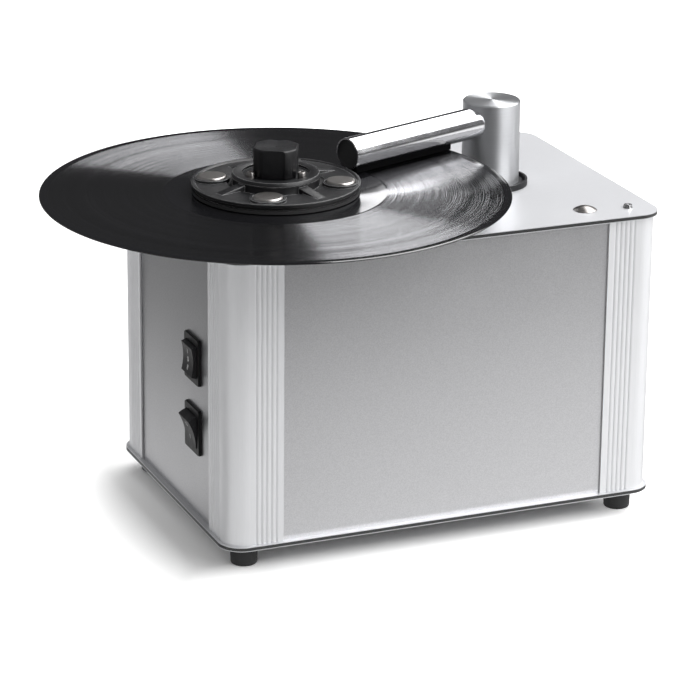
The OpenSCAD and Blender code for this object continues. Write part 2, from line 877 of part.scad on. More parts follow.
module motor_pinion() place() color("goldenrod") {
  translate([drive_x, drive_y, 0]) {
    translate([0, 0, pinion_z]) linear_extrude(pinion_h)
      polygon(gear_points(pinion_teeth, pinion_angle + 180 + 180 / pinion_teeth));
    translate([0, 0, bracket_z - drive_h / 2 + 2])
      cylinder(r = pinion_shaft_r, h = pinion_z - bracket_z + drive_h / 2 + pinion_h);
  }
}

module drive_gear() place() color("white") {
  translate([spindle_x, spindle_y, gear_z]) difference() {
    union() {
      linear_extrude(gear_t) polygon(gear_points(gear_teeth, pinion_angle));
      cylinder(r = gear_hub_r, h = gear_t + gear_hub_h);
    }
    translate([0, 0, -1]) cylinder(r = shaft_r + 0.02, h = gear_t + gear_hub_h + 2);
    ring_of(6, (gear_pitch_r + gear_hub_r) / 2) translate([0, 0, -1]) cylinder(r = 3, h = gear_t + 2);
  }
}

module spindle() place() color("silver") {
  translate([spindle_x, spindle_y, 0]) {
    translate([0, 0, shaft_foot_z]) cylinder(r = shaft_r, h = shoulder_z - shaft_foot_z);
    translate([0, 0, shoulder_z - eps])
      cylinder(r = pin_r, h = record_z + pin_top_h - 1 - shoulder_z + eps);
    translate([0, 0, record_z + pin_top_h - 1 - eps]) cylinder(r1 = pin_r, r2 = pin_r - 1, h = 1 + eps);
  }
}

module bearing_housing() place() color("gray") {
  translate([spindle_x, spindle_y, 0]) difference() {
    union() {
      translate([0, 0, top_z]) cylinder(r = housing_flange_r, h = housing_flange_t);
      translate([0, 0, top_z - housing_drop]) cylinder(r = housing_sleeve_r, h = housing_drop + eps);
    }
    translate([0, 0, top_z - housing_drop - 1])
      cylinder(r = bush_hole_r, h = housing_drop + housing_flange_t + 2);
    translate([0, 0, top_z - 1]) ring_of(3, housing_screw_r, 90)
      cylinder(r = m3_r + slip_gap, h = housing_flange_t + 2);
  }
}

module spindle_bushes() place() color("peru") {
  translate([spindle_x, spindle_y, 0]) {
    pipe(bush_r, shaft_r + run_gap, upper_bush_z, upper_bush_z + bush_l);
    pipe(bush_r, shaft_r + run_gap, lower_bush_z, lower_flange_z + eps);
    pipe(bush_flange_r, shaft_r + run_gap, lower_flange_z, lower_flange_z + bush_flange_t);
  }
}

module drive_screws() place() color("silver") {
  translate([spindle_x, spindle_y, top_z + housing_flange_t]) ring_of(3, housing_screw_r, 90)
    screw(m3_r - 0.05, m3_head_r, m3_head_h - boss_gap / 2, housing_flange_t + plate_t);
  translate([drive_x, drive_y, bracket_z + bracket_t]) ring_of(3, motor_screw_r, pinion_angle)
    screw(m3_r - 0.05, m3_head_r, m3_head_h, bracket_t + 5);
  bracket_screw_places() translate([0, 0, roof_z - bracket_t]) mirror([0, 0, 1])
    screw(m3_r - 0.05, m3_head_r, m3_head_h, bracket_t + plate_t - 1.2);
}

// Platter and record
module platter() place() color("darkgray") {
  translate([spindle_x, spindle_y, 0]) difference() {
    union() {
      translate([0, 0, platter_z]) cylinder(r = platter_r, h = platter_t);
      translate([0, 0, boss_z]) cylinder(r = boss_r, h = platter_z - boss_z + eps);
    }
    translate([0, 0, boss_z - 1]) cylinder(r = shaft_r + 0.02, h = shoulder_z - boss_z + 1);
    translate([0, 0, boss_z]) cylinder(r = pin_r + 0.02, h = mat_z - boss_z + 1);
    translate([0, 0, (boss_z + platter_z) / 2]) rotate([0, 90, 0]) cylinder(r = m4_r, h = boss_r + 1);
  }
}

module platter_grub() place() color("#333333") {
  translate([spindle_x, spindle_y, (boss_z + platter_z) / 2]) rotate([0, 90, 0]) difference() {
    translate([0, 0, shaft_r + 0.05]) cylinder(r = m4_r - 0.05, h = boss_r - shaft_r - 1.5);
    translate([0, 0, boss_r - 4]) cylinder(r = m4_hex_r * 0.7, h = 5, $fn = 6);
  }
}

module platter_mat() place() color("#202020") {
  translate([spindle_x, spindle_y, 0]) pipe(label_r, pin_r + 0.4, mat_z, record_base_z);
}

module record_disc() place() color("black") {
  bead_r = record_r - bead_start;
  mid = record_t / 2;
  low = mid - bead_t / 2;
  high = mid + bead_t / 2;
  translate([spindle_x, spindle_y, record_base_z]) rotate_extrude($fn = 180)
    polygon([
      [pin_r + 0.05, 0], [label_r, 0], [label_r + label_slope, record_relief],
      [groove_end_r, record_relief], [bead_r, low], [record_r - bead_round, low],
      [record_r, mid - bead_edge / 2], [record_r, mid + bead_edge / 2], [record_r - bead_round, high],
      [bead_r, high], [groove_end_r, record_t - record_relief],
      [label_r + label_slope, record_t - record_relief], [label_r, record_t], [pin_r + 0.05, record_t]
    ]);
}

// Clamp
module at_clamp() translate([spindle_x, spindle_y, record_z]) children();

module clamp_disc() place() color("#2b2b2e") at_clamp() {
  rib_angle = cap_angle + 45;
  difference() {
    union() {
      rotate_extrude() polygon([
        [nut_hole_r, seal_h], [neck_r, seal_h], [neck_r, neck_h],
        [clamp_r - rim_bevel, neck_h], [clamp_r, neck_h + rim_bevel],
        [clamp_r, clamp_rim_h - rim_bevel], [clamp_r - rim_bevel, clamp_rim_h],
        [clamp_r - rim_w, clamp_rim_h], [clamp_r - rim_w - 0.8, dish_h],
        [clamp_hub_r + channel_w, dish_h], [clamp_hub_r + channel_w, channel_h],
        [clamp_hub_r - 1, channel_h], [clamp_hub_r - 1, hub_side_h - 1],
        [clamp_hub_r, hub_side_h], [clamp_hub_r - hub_bevel, clamp_hub_h],
        [hub_recess_r, clamp_hub_h], [hub_recess_r, hub_floor_h], [nut_hole_r, hub_floor_h]
      ]);
      ring_of(4, cap_ring_r, cap_angle)
        translate([0, 0, root_h]) cylinder(r = cap_r + cap_boss_w, h = cap_boss_h - root_h);
      ring_of(4, 0, rib_angle) rotate([90, 0, 0]) translate([0, 0, -rib_w / 2]) linear_extrude(rib_w)
        polygon([
          [clamp_hub_r - 2, root_h], [rib_end_r, root_h],
          [rib_end_r, dish_h - 0.5], [clamp_hub_r - 2, rib_top_h]
        ]);
    }
    ring_of(4, cap_ring_r, cap_angle)
      translate([0, 0, dish_h - 0.4]) cylinder(r = cap_r + cap_pocket_gap, h = 5);
    ring_of(post_n, post_ring_r, post_angle) translate([0, 0, hub_floor_h - post_l - 0.5])
      cylinder(r = post_thread_r, h = post_l + 1);
  }
}

module clamp_seal() place() color("#151515") at_clamp()
  pipe(seal_r, seal_in_r, seat_gap, seal_h);

module clamp_caps() place() color("silver") at_clamp()
  ring_of(4, cap_ring_r, cap_angle) translate([0, 0, dish_h - 0.4]) {
    cylinder(r = cap_r, h = cap_h - cap_bevel);
    translate([0, 0, cap_h - cap_bevel - eps])
      cylinder(r1 = cap_r, r2 = cap_r - cap_bevel, h = cap_bevel + eps);
  }

module clamp_screws() place() color("silver") at_clamp()
  ring_of(post_n, post_ring_r, post_angle) translate([0, 0, hub_floor_h])
    screw(post_thread_r - 0.05, post_r, post_h, post_l);

module clamp_knob() place() color("#111111") at_clamp() difference() {
  union() {
    translate([0, 0, knob_foot_h]) cylinder(r = knob_r, h = knob_top_h - knob_foot_h - knob_bevel);
    translate([0, 0, knob_top_h - knob_bevel - eps])
      cylinder(r1 = knob_r, r2 = knob_r - knob_bevel, h = knob_bevel + eps);
  }
  ring_of(4, knob_r - knob_hollow + hollow_r, cap_angle) translate([0, 0, knob_foot_h - 1])
    cylinder(r = hollow_r, h = knob_top_h);
  translate([0, 0, knob_top_h - knob_dish])
    cylinder(r1 = 0, r2 = knob_r - knob_bevel - 0.6, h = knob_dish + eps);
  translate([0, 0, knob_foot_h - 1]) cylinder(r = nut_r, h = nut_top_h - knob_foot_h + 1 + seat_gap);
}

module clamp_nut() place() color("goldenrod") at_clamp() difference() {
  union() {
    translate([0, 0, nut_foot_h]) cylinder(r = nut_flange_r, h = nut_flange_t);
    translate([0, 0, nut_foot_h]) cylinder(r = nut_r - 0.02, h = nut_top_h - nut_foot_h);
  }
  translate([0, 0, nut_foot_h - 1]) cylinder(r = pin_r + run_gap, h = pin_top_h + 1 + seat_gap);
}

// Suction arm
module at_arm() translate([arm_x, arm_y, 0]) children();
module along_tube()
  at_arm() translate([0, 0, tube_z]) rotate([0, 0, arm_angle]) rotate([0, 90, 0]) children();

module arm_column() place() color("silver") difference() {
  at_arm() {
    translate([0, 0, column_foot_z])
      cylinder(r = column_r, h = top_z + column_h - column_bevel - column_foot_z);
    translate([0, 0, top_z + column_h - column_bevel - eps])
      cylinder(r1 = column_r, r2 = column_r - column_bevel, h = column_bevel + eps);
  }
  at_arm() translate([0, 0, column_foot_z - 1])
    cylinder(r = column_bore_r, h = tube_z + tube_r - column_foot_z + 1);
  along_tube() cylinder(r = tube_r + 0.02, h = column_r + 2);
}

module arm_tube() place() color("gainsboro") difference() {
  along_tube() translate([0, 0, tube_start]) cylinder(r = tube_r, h = tube_end - tube_start);
  along_tube() translate([0, 0, tube_start - 1]) cylinder(r = tube_r - tube_wall, h = tube_end + 2);
  along_tube() translate([0, -slot_w / 2, strip_start + strip_margin])
    cube([tube_r + 1, slot_w, slot_end - strip_start - strip_margin]);
}

module tube_plug() place() color("#18181a") along_tube()
  translate([0, 0, tube_end - plug_recess - plug_disc_t])
    cylinder(r = tube_r - tube_wall - 0.02, h = plug_disc_t);

module velvet_strips() place() color("#0d0d0d") difference() {
  at_arm() translate([0, 0, record_z + strip_gap]) rotate([0, 0, arm_angle])
    for (side = [-1, 1])
      translate([strip_start, side * (slot_w + strip_w) / 2 - strip_w / 2, 0])
        cube([slot_end + strip_margin - strip_start, strip_w, tube_z - record_z - tube_r + 1.6]);
  along_tube() cylinder(r = tube_r + 0.02, h = tube_end + 20);
}

module arm_bush() place() color("ivory") at_arm()
  pipe(arm_bush_r, column_r + run_gap, bush_foot_z, bush_top_z);

module arm_collar() place() color("#1d1d1f") at_arm() difference() {
  union() {
    translate([0, 0, top_z]) cylinder(r = collar_r, h = collar_h);
    translate([0, 0, sleeve_foot_z]) cylinder(r = sleeve_r, h = top_z - sleeve_foot_z + eps);
    translate([0, 0, sleeve_foot_z - spigot_l]) cylinder(r = spigot_r, h = spigot_l + eps);
  }
  translate([0, 0, top_z + collar_floor]) cylinder(r = collar_r - collar_wall, h = collar_h);
  translate([0, 0, sleeve_floor_z]) cylinder(r = sleeve_in_r, h = top_z - sleeve_floor_z + collar_h);
  translate([0, 0, sleeve_foot_z - spigot_l - 1])
    cylinder(r = spigot_bore_r, h = spigot_l + sleeve_floor + 2);
}

module collar_nut() place() color("#1d1d1f") at_arm() difference() {
  translate([0, 0, roof_z - nut_ring_h]) cylinder(r = sleeve_r + nut_ring_w, h = nut_ring_h);
  translate([0, 0, roof_z - nut_ring_h - 1]) cylinder(r = sleeve_r + 0.02, h = nut_ring_h + 2);
  ring_of(8, sleeve_r + nut_ring_w) translate([0, 0, roof_z - nut_ring_h - 1])
    cylinder(r = nut_notch_r, h = nut_ring_h + 2);
}

module spring_seat() place() color("ivory") at_arm()
  pipe(seat_r, seat_in_r, seat_z, seat_z + seat_t);

// A round wire swept along a list of points
function unit(v) = v / norm(v);
function heading(p, i) = unit(p[min(i + 1, len(p) - 1)] - p[max(i - 1, 0)]);
function wire_ring(p, i, r, n, lean) =
  let (t = heading(p, i), u = unit(cross(t, lean)), v = cross(t, u))
  [for (k = [0:n - 1]) p[i] + r * (cos(k * 360 / n) * u + sin(k * 360 / n) * v)];

module swept_wire(p, r, n, lean) {
  m = len(p);
  polyhedron(
    points = [for (i = [0:m - 1]) each wire_ring(p, i, r, n, lean)],
    faces = concat(
      [[for (k = [0:n - 1]) k]],
      [[for (k = [0:n - 1]) m * n - 1 - k]],
      [for (i = [0:m - 2], k = [0:n - 1])
        [i * n + k, (i + 1) * n + k, (i + 1) * n + (k + 1) % n, i * n + (k + 1) % n]]
    ),
    convexity = 6
  );
}

module arm_spring() place() color("silver") at_arm() {
  low = sleeve_floor_z + spring_wire_r + eps;
  rise = seat_z - sleeve_floor_z - 2 * (spring_wire_r + eps);
  steps = spring_turns * spring_steps;
  path = [for (i = [0:steps])
    let (a = i * 360 / spring_steps)
    [spring_r * cos(a), spring_r * sin(a), low + rise * i / steps]];
  swept_wire(path, spring_wire_r, spring_sides, [0, 0, 1]);
}

// Tank
module tank_body() place() color("#e8e8e4") difference() {
  translate([tank_x, tank_y, floor_z]) cube([tank_w, tank_d, tank_h]);
  translate([tank_x + tank_wall, tank_y + tank_wall, floor_z + tank_wall])
    cube([tank_w - 2 * tank_wall, tank_d - 2 * tank_wall, tank_h]);
}

module tank_lid() place() color("#d8d8d4") {
  skirt = tank_wall + slip_gap;
  neck_r = plug_bore_r + neck_wall;
  difference() {
    union() {
      translate([tank_x - lid_lip, tank_y - lid_lip, tank_top_z])
        cube([tank_w + 2 * lid_lip, tank_d + 2 * lid_lip, lid_t]);
      translate([tank_x + skirt, tank_y + skirt, tank_top_z - lid_skirt])
        cube([tank_w - 2 * skirt, tank_d - 2 * skirt, lid_skirt + eps]);
      translate([arm_x, arm_y, tank_top_z]) cylinder(r = spigot_r, h = lid_t + spigot_l);
      translate([outlet_x, outlet_y, tank_top_z]) cylinder(r = spigot_r, h = lid_t + outlet_l);
      translate([plug_x, plug_y, tank_top_z]) cylinder(r = neck_r, h = roof_z - tank_top_z);
    }
    translate([0, 0, tank_top_z - lid_skirt - 1]) {
      through = lid_t + lid_skirt + 2;
      translate([arm_x, arm_y, 0]) cylinder(r = spigot_bore_r, h = through + spigot_l);
      translate([outlet_x, outlet_y, 0]) cylinder(r = spigot_bore_r, h = through + outlet_l);
      translate([plug_x, plug_y, 0]) cylinder(r = plug_bore_r, h = through + roof_z - tank_top_z);
    }
  }
}

module tank_baffle() place() color("#d8d8d4") {
  baffle_d = tank_d * 2 / 3 - tank_wall - slip_gap;
  translate([(arm_x + outlet_x) / 2 - baffle_t / 2, tank_y + tank_d / 3, tank_top_z - baffle_h])
    cube([baffle_t, baffle_d, baffle_h - lid_skirt]);
}

module tank_plug() place() color("silver") {
  cap_sphere_r = (plug_r ^ 2 + plug_dome ^ 2) / (2 * plug_dome);
  translate([plug_x, plug_y, top_z + seat_gap]) {
    intersection() {
      translate([0, 0, plug_dome - cap_sphere_r]) sphere(cap_sphere_r);
      cylinder(r = plug_r, h = plug_dome + 1);
    }
    difference() {
      translate([0, 0, -plug_stem_l]) cylinder(r = plug_stem_r, h = plug_stem_l + 0.5);
      translate([0, 0, -plug_stem_l + 3]) pipe(plug_stem_r + 1, plug_stem_r - plug_groove, 0, 2);
    }
  }
}

module inlet_hose() place() color("#3a3a3c") at_arm()
  pipe(hose_r, hose_bore_r, lid_z + hose_foot_gap, sleeve_foot_z - hose_top_gap);

// The hose rises from the tank lid, crosses and comes down on the fan housing
module hose_path(r) {
  span = norm([outlet_x - blower_x, outlet_y - blower_y]);
  start_z = lid_z + outlet_l - hose_grip;
  bend_z = fan_top_z + fan_spigot_l + hose_rise;
  end_z = fan_top_z + fan_spigot_l - hose_grip;
  translate([outlet_x, outlet_y, 0])
    rotate([0, 0, atan2(blower_y - outlet_y, blower_x - outlet_x)]) {
      translate([0, 0, start_z]) cylinder(r = r, h = bend_z - start_z);
      translate([hose_bend_r, 0, bend_z]) rotate([90, 0, 0])
        rotate([0, 0, 90]) rotate_extrude(angle = 90) translate([hose_bend_r, 0]) circle(r);
      translate([hose_bend_r, 0, bend_z + hose_bend_r]) rotate([0, 90, 0])
        cylinder(r = r, h = span - 2 * hose_bend_r);
      translate([span - hose_bend_r, 0, bend_z]) rotate([90, 0, 0])
        rotate_extrude(angle = 90) translate([hose_bend_r, 0]) circle(r);
      translate([span, 0, end_z]) cylinder(r = r, h = bend_z - end_z);
    }
}

module suction_hose() place() color("#3a3a3c") difference() {
  hose_path(hose_bore_r + suction_wall);
  hose_path(hose_bore_r);
}

// Blower
module at_blower() translate([blower_x, blower_y, 0]) children();

module blower_housing() place() color("#5a5c60") difference() {
  at_blower() {
    translate([0, 0, fan_z]) cylinder(r = fan_r, h = fan_h);
    translate([0, 0, fan_top_z - eps]) cylinder(r = spigot_r, h = fan_spigot_l + eps);
    translate([0, 0, outlet_z]) rotate([-90, 0, 0]) cylinder(r = outlet_r, h = outlet_end_y - blower_y);
  }
  at_blower() translate([0, 0, fan_z - 1]) cylinder(r = fan_r - fan_wall, h = fan_h - fan_wall + 1);
  at_blower() translate([0, 0, fan_z]) cylinder(r = spigot_bore_r, h = fan_h + fan_spigot_l + 1);
  at_blower() translate([0, 0, outlet_z]) rotate([-90, 0, 0])
    cylinder(r = outlet_bore_r, h = outlet_end_y - blower_y + 1);
}

module blower_motor() place() color("#77797d") at_blower() difference() {
  union() {
    translate([0, 0, blower_z]) cylinder(r = blower_r, h = blower_h);
    translate([0, 0, blower_z + blower_h - eps]) cylinder(r = fan_r + 1, h = blower_flange_t + eps);
  }
  translate([0, 0, fan_z - blower_shaft_l - 1])
    cylinder(r = blower_shaft_r + run_gap, h = blower_shaft_l + 2);
}

module fan_wheel() place() color("lightgray") at_blower() {
  translate([0, 0, fan_z - blower_shaft_l]) cylinder(r = blower_shaft_r, h = blower_shaft_l + 4);
  translate([0, 0, wheel_z]) {
    cylinder(r = wheel_r, h = wheel_plate);
    cylinder(r = wheel_hub_r, h = wheel_h - 2);
    translate([0, 0, wheel_h - wheel_plate]) pipe(wheel_r, wheel_eye_r, 0, wheel_plate);
    ring_of(blade_n, 0) translate([wheel_hub_r - 1, -blade_t / 2, wheel_plate - eps])
      cube([wheel_r - wheel_hub_r - 1, blade_t, wheel_h - 2 * wheel_plate + 2 * eps]);
  }
}

module blower_mount() place() color("#222222") at_blower() difference() {
  translate([0, 0, floor_z]) cylinder(r = blower_r + mount_wall, h = mount_h + mount_lip);
  translate([0, 0, blower_z]) cylinder(r = blower_r + 0.02, h = mount_lip + 1);
  translate([0, 0, floor_z - 1]) cylinder(r = mount_hole_r, h = mount_h + 2);
}

// Rear fittings
module exhaust_grille() place() color("#1d1d1f") translate([blower_x, rear_out_y, outlet_z]) {
  difference() {
    union() {
      rotate([-90, 0, 0]) linear_extrude(grille_t) rounded_rect(grille_w, grille_w, grille_corner);
      rotate([90, 0, 0]) cylinder(r = duct_r, h = duct_l);
    }
    rotate([90, 0, 0]) cylinder(r = outlet_r + 0.05, h = duct_l + 1);
    for (i = [0:grille_slot_n - 1])
      translate([-grille_slot_w / 2, -1, (i - (grille_slot_n - 1) / 2) * grille_pitch - grille_slot_h / 2])
        cube([grille_slot_w, grille_t + 2, grille_slot_h]);
  }
}

module socket_recess() {
  prong_y = inlet_flange - socket_depth - 1;
  difference() {
    translate([-socket_w / 2, prong_y + 1, socket_up - socket_h / 2])
      cube([socket_w, socket_depth + 1, socket_h]);
    for (x = [-prong_gap, 0, prong_gap])
      translate([x - prong_w / 2, prong_y, socket_up + (x == 0 ? 1.5 : -2) - prong_h / 2])
        cube([prong_w, prong_l + 1, prong_h]);
  }
}

module mains_inlet() place() color("#1a1a1a") translate([inlet_x, rear_out_y, inlet_z]) difference() {
  union() {
    rotate([-90, 0, 0]) linear_extrude(inlet_flange) rounded_rect(inlet_w + 5, inlet_h + 4, 3);
    translate([-inlet_w / 2, -inlet_depth, -inlet_h / 2]) cube([inlet_w, inlet_depth + eps, inlet_h]);
  }
  socket_recess();
  translate([0, inlet_flange - drawer_depth - seat_gap, -drawer_down])
    translate([-drawer_w / 2 - seat_gap, 0, -drawer_h / 2 - seat_gap])
      cube([drawer_w + 2 * seat_gap, drawer_depth + 1, drawer_h + 2 * seat_gap]);
}

module fuse_drawer() place() color("#262626")
  translate([inlet_x, rear_out_y + inlet_flange - drawer_depth, inlet_z - drawer_down]) difference() {
    translate([-drawer_w / 2, 0, -drawer_h / 2]) cube([drawer_w, drawer_depth, drawer_h]);
    translate([drawer_wall - drawer_w / 2, drawer_wall, drawer_wall - drawer_h / 2])
      cube([drawer_w - 2 * drawer_wall, drawer_depth - 3 * drawer_wall, drawer_h]);
    translate([-pull_w / 2, drawer_depth - 1, drawer_h / 2 - pull_t]) cube([pull_w, 2, pull_t + 1]);
  }

// Electronics on the inside of the switch panel
module power_board() place() color("darkgreen") {
  board_x = left_in_x + board_gap;
  translate([board_x, board_y0, board_z0]) cube([board_t, board_d, board_h]);
  for (y = [board_y0 + spacer_inset, board_y0 + board_d - spacer_inset],
       z = [board_z0 + spacer_inset, board_z0 + board_h - spacer_inset])
    translate([left_in_x, y, z]) rotate([0, 90, 0]) cylinder(r = spacer_r, h = board_gap + eps);
  for (i = [0:2])
    translate([board_x + board_t - eps, board_y0 + board_d - capacitor_inset,
               board_z0 + capacitor_up + i * capacitor_pitch])
      rotate([0, 90, 0]) cylinder(r = capacitor_r, h = capacitor_l);
}

module transformer() place() color("#6a6a66") {
  board_x = left_in_x + board_gap + board_t;
  translate([board_x, board_y0 + core_front, board_z0 + core_up]) {
    difference() {
      cube([core_t, part_d, core_h]);
      translate([-1, coil_margin, coil_margin])
        cube([core_t + 2, part_d - 2 * coil_margin, core_h - 2 * coil_margin]);
    }
    translate([coil_inset, coil_margin - eps, coil_margin + coil_inset])
      cube([core_t - 2 * coil_inset, part_d - 2 * coil_margin + 2 * eps,
            core_h - 2 * (coil_margin + coil_inset)]);
  }
}

function blend_point(a, b, c, d, t) =
  0.5 * (2 * b + (c - a) * t + (2 * a - 5 * b + 4 * c - d) * t ^ 2 + (3 * b - a - 3 * c + d) * t ^ 3);

function smooth_route(p) = concat(
  [for (i = [0:len(p) - 2], k = [0:wire_steps - 1])
    blend_point(p[max(i - 1, 0)], p[i], p[i + 1], p[min(i + 2, len(p) - 1)], k / wire_steps)],
  [p[len(p) - 1]]
);

module wiring() place() color("#3c3c3c")
  for (route = wire_routes) swept_wire(smooth_route(route), wire_r, wire_sides, [0.3, 0.5, 1]);

bottom_plate();
top_plate();
corner_front_left();
corner_front_right();
corner_rear_left();
corner_rear_right();
front_panel();
rear_panel();
right_panel();
switch_panel();
feet();
foot_screws();
top_screws();
drive_bracket();
drive_motor();
motor_pinion();
drive_gear();
spindle();
bearing_housing();
spindle_bushes();
drive_screws();
platter();
platter_grub();
platter_mat();
record_disc();
clamp_disc();
clamp_seal();
clamp_caps();
clamp_screws();
clamp_knob();
clamp_nut();
arm_column();
arm_tube();
tube_plug();
velvet_strips();
arm_bush();
arm_collar();
collar_nut();
spring_seat();
arm_spring();
tank_body();
tank_lid();
tank_baffle();
tank_plug();
inlet_hose();
suction_hose();
blower_housing();
blower_motor();
fan_wheel();
blower_mount();
exhaust_grille();
mains_inlet();
fuse_drawer();
power_board();
transformer();
motor_switch();
motor_rocker();
vacuum_switch();
vacuum_rocker();
wiring();
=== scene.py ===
"""Looks of the record cleaning machine. Metres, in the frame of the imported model."""
import math

import bpy
from mathutils import Matrix, Vector


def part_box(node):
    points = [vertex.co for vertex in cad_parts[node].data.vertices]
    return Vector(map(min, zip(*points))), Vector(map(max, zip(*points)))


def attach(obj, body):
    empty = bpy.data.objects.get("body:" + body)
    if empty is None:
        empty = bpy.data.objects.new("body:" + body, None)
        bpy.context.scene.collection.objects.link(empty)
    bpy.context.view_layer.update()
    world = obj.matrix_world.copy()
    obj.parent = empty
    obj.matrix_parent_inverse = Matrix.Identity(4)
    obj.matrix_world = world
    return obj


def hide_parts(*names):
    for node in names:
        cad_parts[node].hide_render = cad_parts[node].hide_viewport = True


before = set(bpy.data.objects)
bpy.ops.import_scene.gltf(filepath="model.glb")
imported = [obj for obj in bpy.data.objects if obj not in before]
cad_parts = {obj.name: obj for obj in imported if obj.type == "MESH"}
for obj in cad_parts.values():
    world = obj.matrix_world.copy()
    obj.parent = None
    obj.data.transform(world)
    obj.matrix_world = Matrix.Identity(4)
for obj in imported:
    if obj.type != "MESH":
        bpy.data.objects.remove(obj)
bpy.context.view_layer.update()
MM = 0.001
UP = Vector((0, 0, 1))

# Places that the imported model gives
record_low, record_high = (Vector(p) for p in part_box("record_disc"))
column_low, column_high = (Vector(p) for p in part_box("arm_column"))
top_low, top_high = (Vector(p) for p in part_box("top_plate"))
bottom_low, bottom_high = (Vector(p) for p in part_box("bottom_plate"))
spindle_at = (record_low + record_high) / 2
column_at = (column_low + column_high) / 2
record_top = record_high.z

# Camera, in degrees and metres, and its lens and sensor in mm
CAMERA_AT = (-0.78810, -1.891685, 0.85130)
CAMERA_AZIMUTH = -22.674
CAMERA_ELEVATION = 19.482
CAMERA_ROLL = 0.576
LENS = 169.13
SENSOR_WIDTH = 36


def aim_camera():
    """The photograph's view, fitted to the record's rim and the cabinet's edges."""
    azimuth, elevation, roll = (math.radians(a) for a in (CAMERA_AZIMUTH, CAMERA_ELEVATION, CAMERA_ROLL))
    back = Vector((math.sin(azimuth) * math.cos(elevation),
                   -math.cos(azimuth) * math.cos(elevation), math.sin(elevation)))
    side = (-back).cross(UP).normalized()
    up = side.cross(-back)
    right = math.cos(roll) * side + math.sin(roll) * up
    above = -math.sin(roll) * side + math.cos(roll) * up
    bpy.ops.object.camera_add(location=CAMERA_AT)
    camera = bpy.context.object
    camera.rotation_euler = Matrix((right, above, back)).transposed().to_euler()
    camera.data.sensor_width = SENSOR_WIDTH
    camera.data.lens = LENS
    bpy.context.scene.camera = camera


# Parts of node trees. What goes in is a socket or a plain value.
def math_node(tree, operation, a, b=None, clamp=False):
    node = tree.nodes.new("ShaderNodeMath")
    node.operation = operation
    node.use_clamp = clamp
    for place, value in enumerate((a, b)):
        if isinstance(value, (int, float)):
            node.inputs[place].default_value = value
        elif value is not None:
            tree.links.new(value, node.inputs[place])
    return node.outputs[0]


def plus(tree, a, b, clamp=False):
    return math_node(tree, "ADD", a, b, clamp)


def minus(tree, a, b, clamp=False):
    return math_node(tree, "SUBTRACT", a, b, clamp)


def times(tree, a, b, clamp=False):
    return math_node(tree, "MULTIPLY", a, b, clamp)


def at_least(tree, a, b):
    return math_node(tree, "MAXIMUM", a, b)


def vector_node(tree, operation, a, b=None, scale=None):
    node = tree.nodes.new("ShaderNodeVectorMath")
    node.operation = operation
    for place, value in enumerate((a, b)):
        if isinstance(value, tuple):
            node.inputs[place].default_value = value
        elif value is not None:
            tree.links.new(value, node.inputs[place])
    if scale is not None:
        tree.links.new(scale, node.inputs["Scale"])
    return node


def parts_of(tree, vector):
    """The X, Y and Z of a vector."""
    split = tree.nodes.new("ShaderNodeSeparateXYZ")
    tree.links.new(vector, split.inputs[0])
    return [split.outputs[axis] for axis in "XYZ"]


def mix_colours(tree, share, a, b):
    mix = tree.nodes.new("ShaderNodeMix")
    mix.data_type = "RGBA"
    tree.links.new(share, mix.inputs["Factor"])
    for label, value in (("A", a), ("B", b)):
        if isinstance(value, tuple):
            mix.inputs[label].default_value = (*value, 1)
        else:
            tree.links.new(value, mix.inputs[label])
    return mix.outputs["Result"]


def add_shaders(tree, a, b):
    added = tree.nodes.new("ShaderNodeAddShader")
    tree.links.new(a, added.inputs[0])
    tree.links.new(b, added.inputs[1])
    return added.outputs[0]


def instead_for(tree, ray, usual, special):
    """The usual shader, but the special one for one kind of ray."""
    choice = tree.nodes.new("ShaderNodeMixShader")
    tree.links.new(ray, choice.inputs[0])
    tree.links.new(usual, choice.inputs[1])
    tree.links.new(special, choice.inputs[2])
    return choice.outputs[0]


# Light. The overhead panel is a wedge of the sky, given by the X, Y and Z of a direction. Its edges run out
# from the point that the level record mirrors for the camera: degrees from +X, and which side is lit.
MIRRORED = (0.342, 0.879)
PANEL_EDGES = ((-98, 1), (-46, -1))
PANEL_LOW = 0.36
PANEL_CLEAR = 0.10
PANEL_LEVEL = 5.2
SHARP = 60.0
SOFT = 12.0
# How bright the room's walls are by azimuth, in degrees from +X towards +Y, and at the left at 180 degrees
ROOM = [(-135, 0.24), (-115, 0.05), (-45, 0.05), (-25, 0.12), (-5, 0.16), (5, 0.12), (30, 0.06), (58, 0.05),
        (80, 0.05), (105, 0.16), (152, 0.28)]
ROOM_LEFT = 0.12
ROOM_BLUE = 1.03
BACKDROP_LEVEL = 1.1
FILL_LEVEL = 0.62


def softbox(name, azimuth, elevation, distance, size, radiance, seen_by="gloss"):
    """A soft rectangular light that faces the object. One kind shows in gloss, the other casts shadows."""
    turn_to, rise = math.radians(azimuth), math.radians(elevation)
    place = distance * Vector((math.cos(rise) * math.cos(turn_to), math.cos(rise) * math.sin(turn_to),
                               math.sin(rise)))
    bpy.ops.object.light_add(type="AREA", location=place)
    lamp = bpy.context.object
    lamp.name = name
    lamp.rotation_euler = (-place).to_track_quat("-Z", "Y").to_euler()
    lamp.data.shape = "RECTANGLE"
    lamp.data.size, lamp.data.size_y = size
    lamp.data.energy = radiance * math.pi * size[0] * size[1]
    lamp.visible_camera = False
    lamp.visible_diffuse = seen_by == "shade"
    lamp.visible_glossy = seen_by == "gloss"


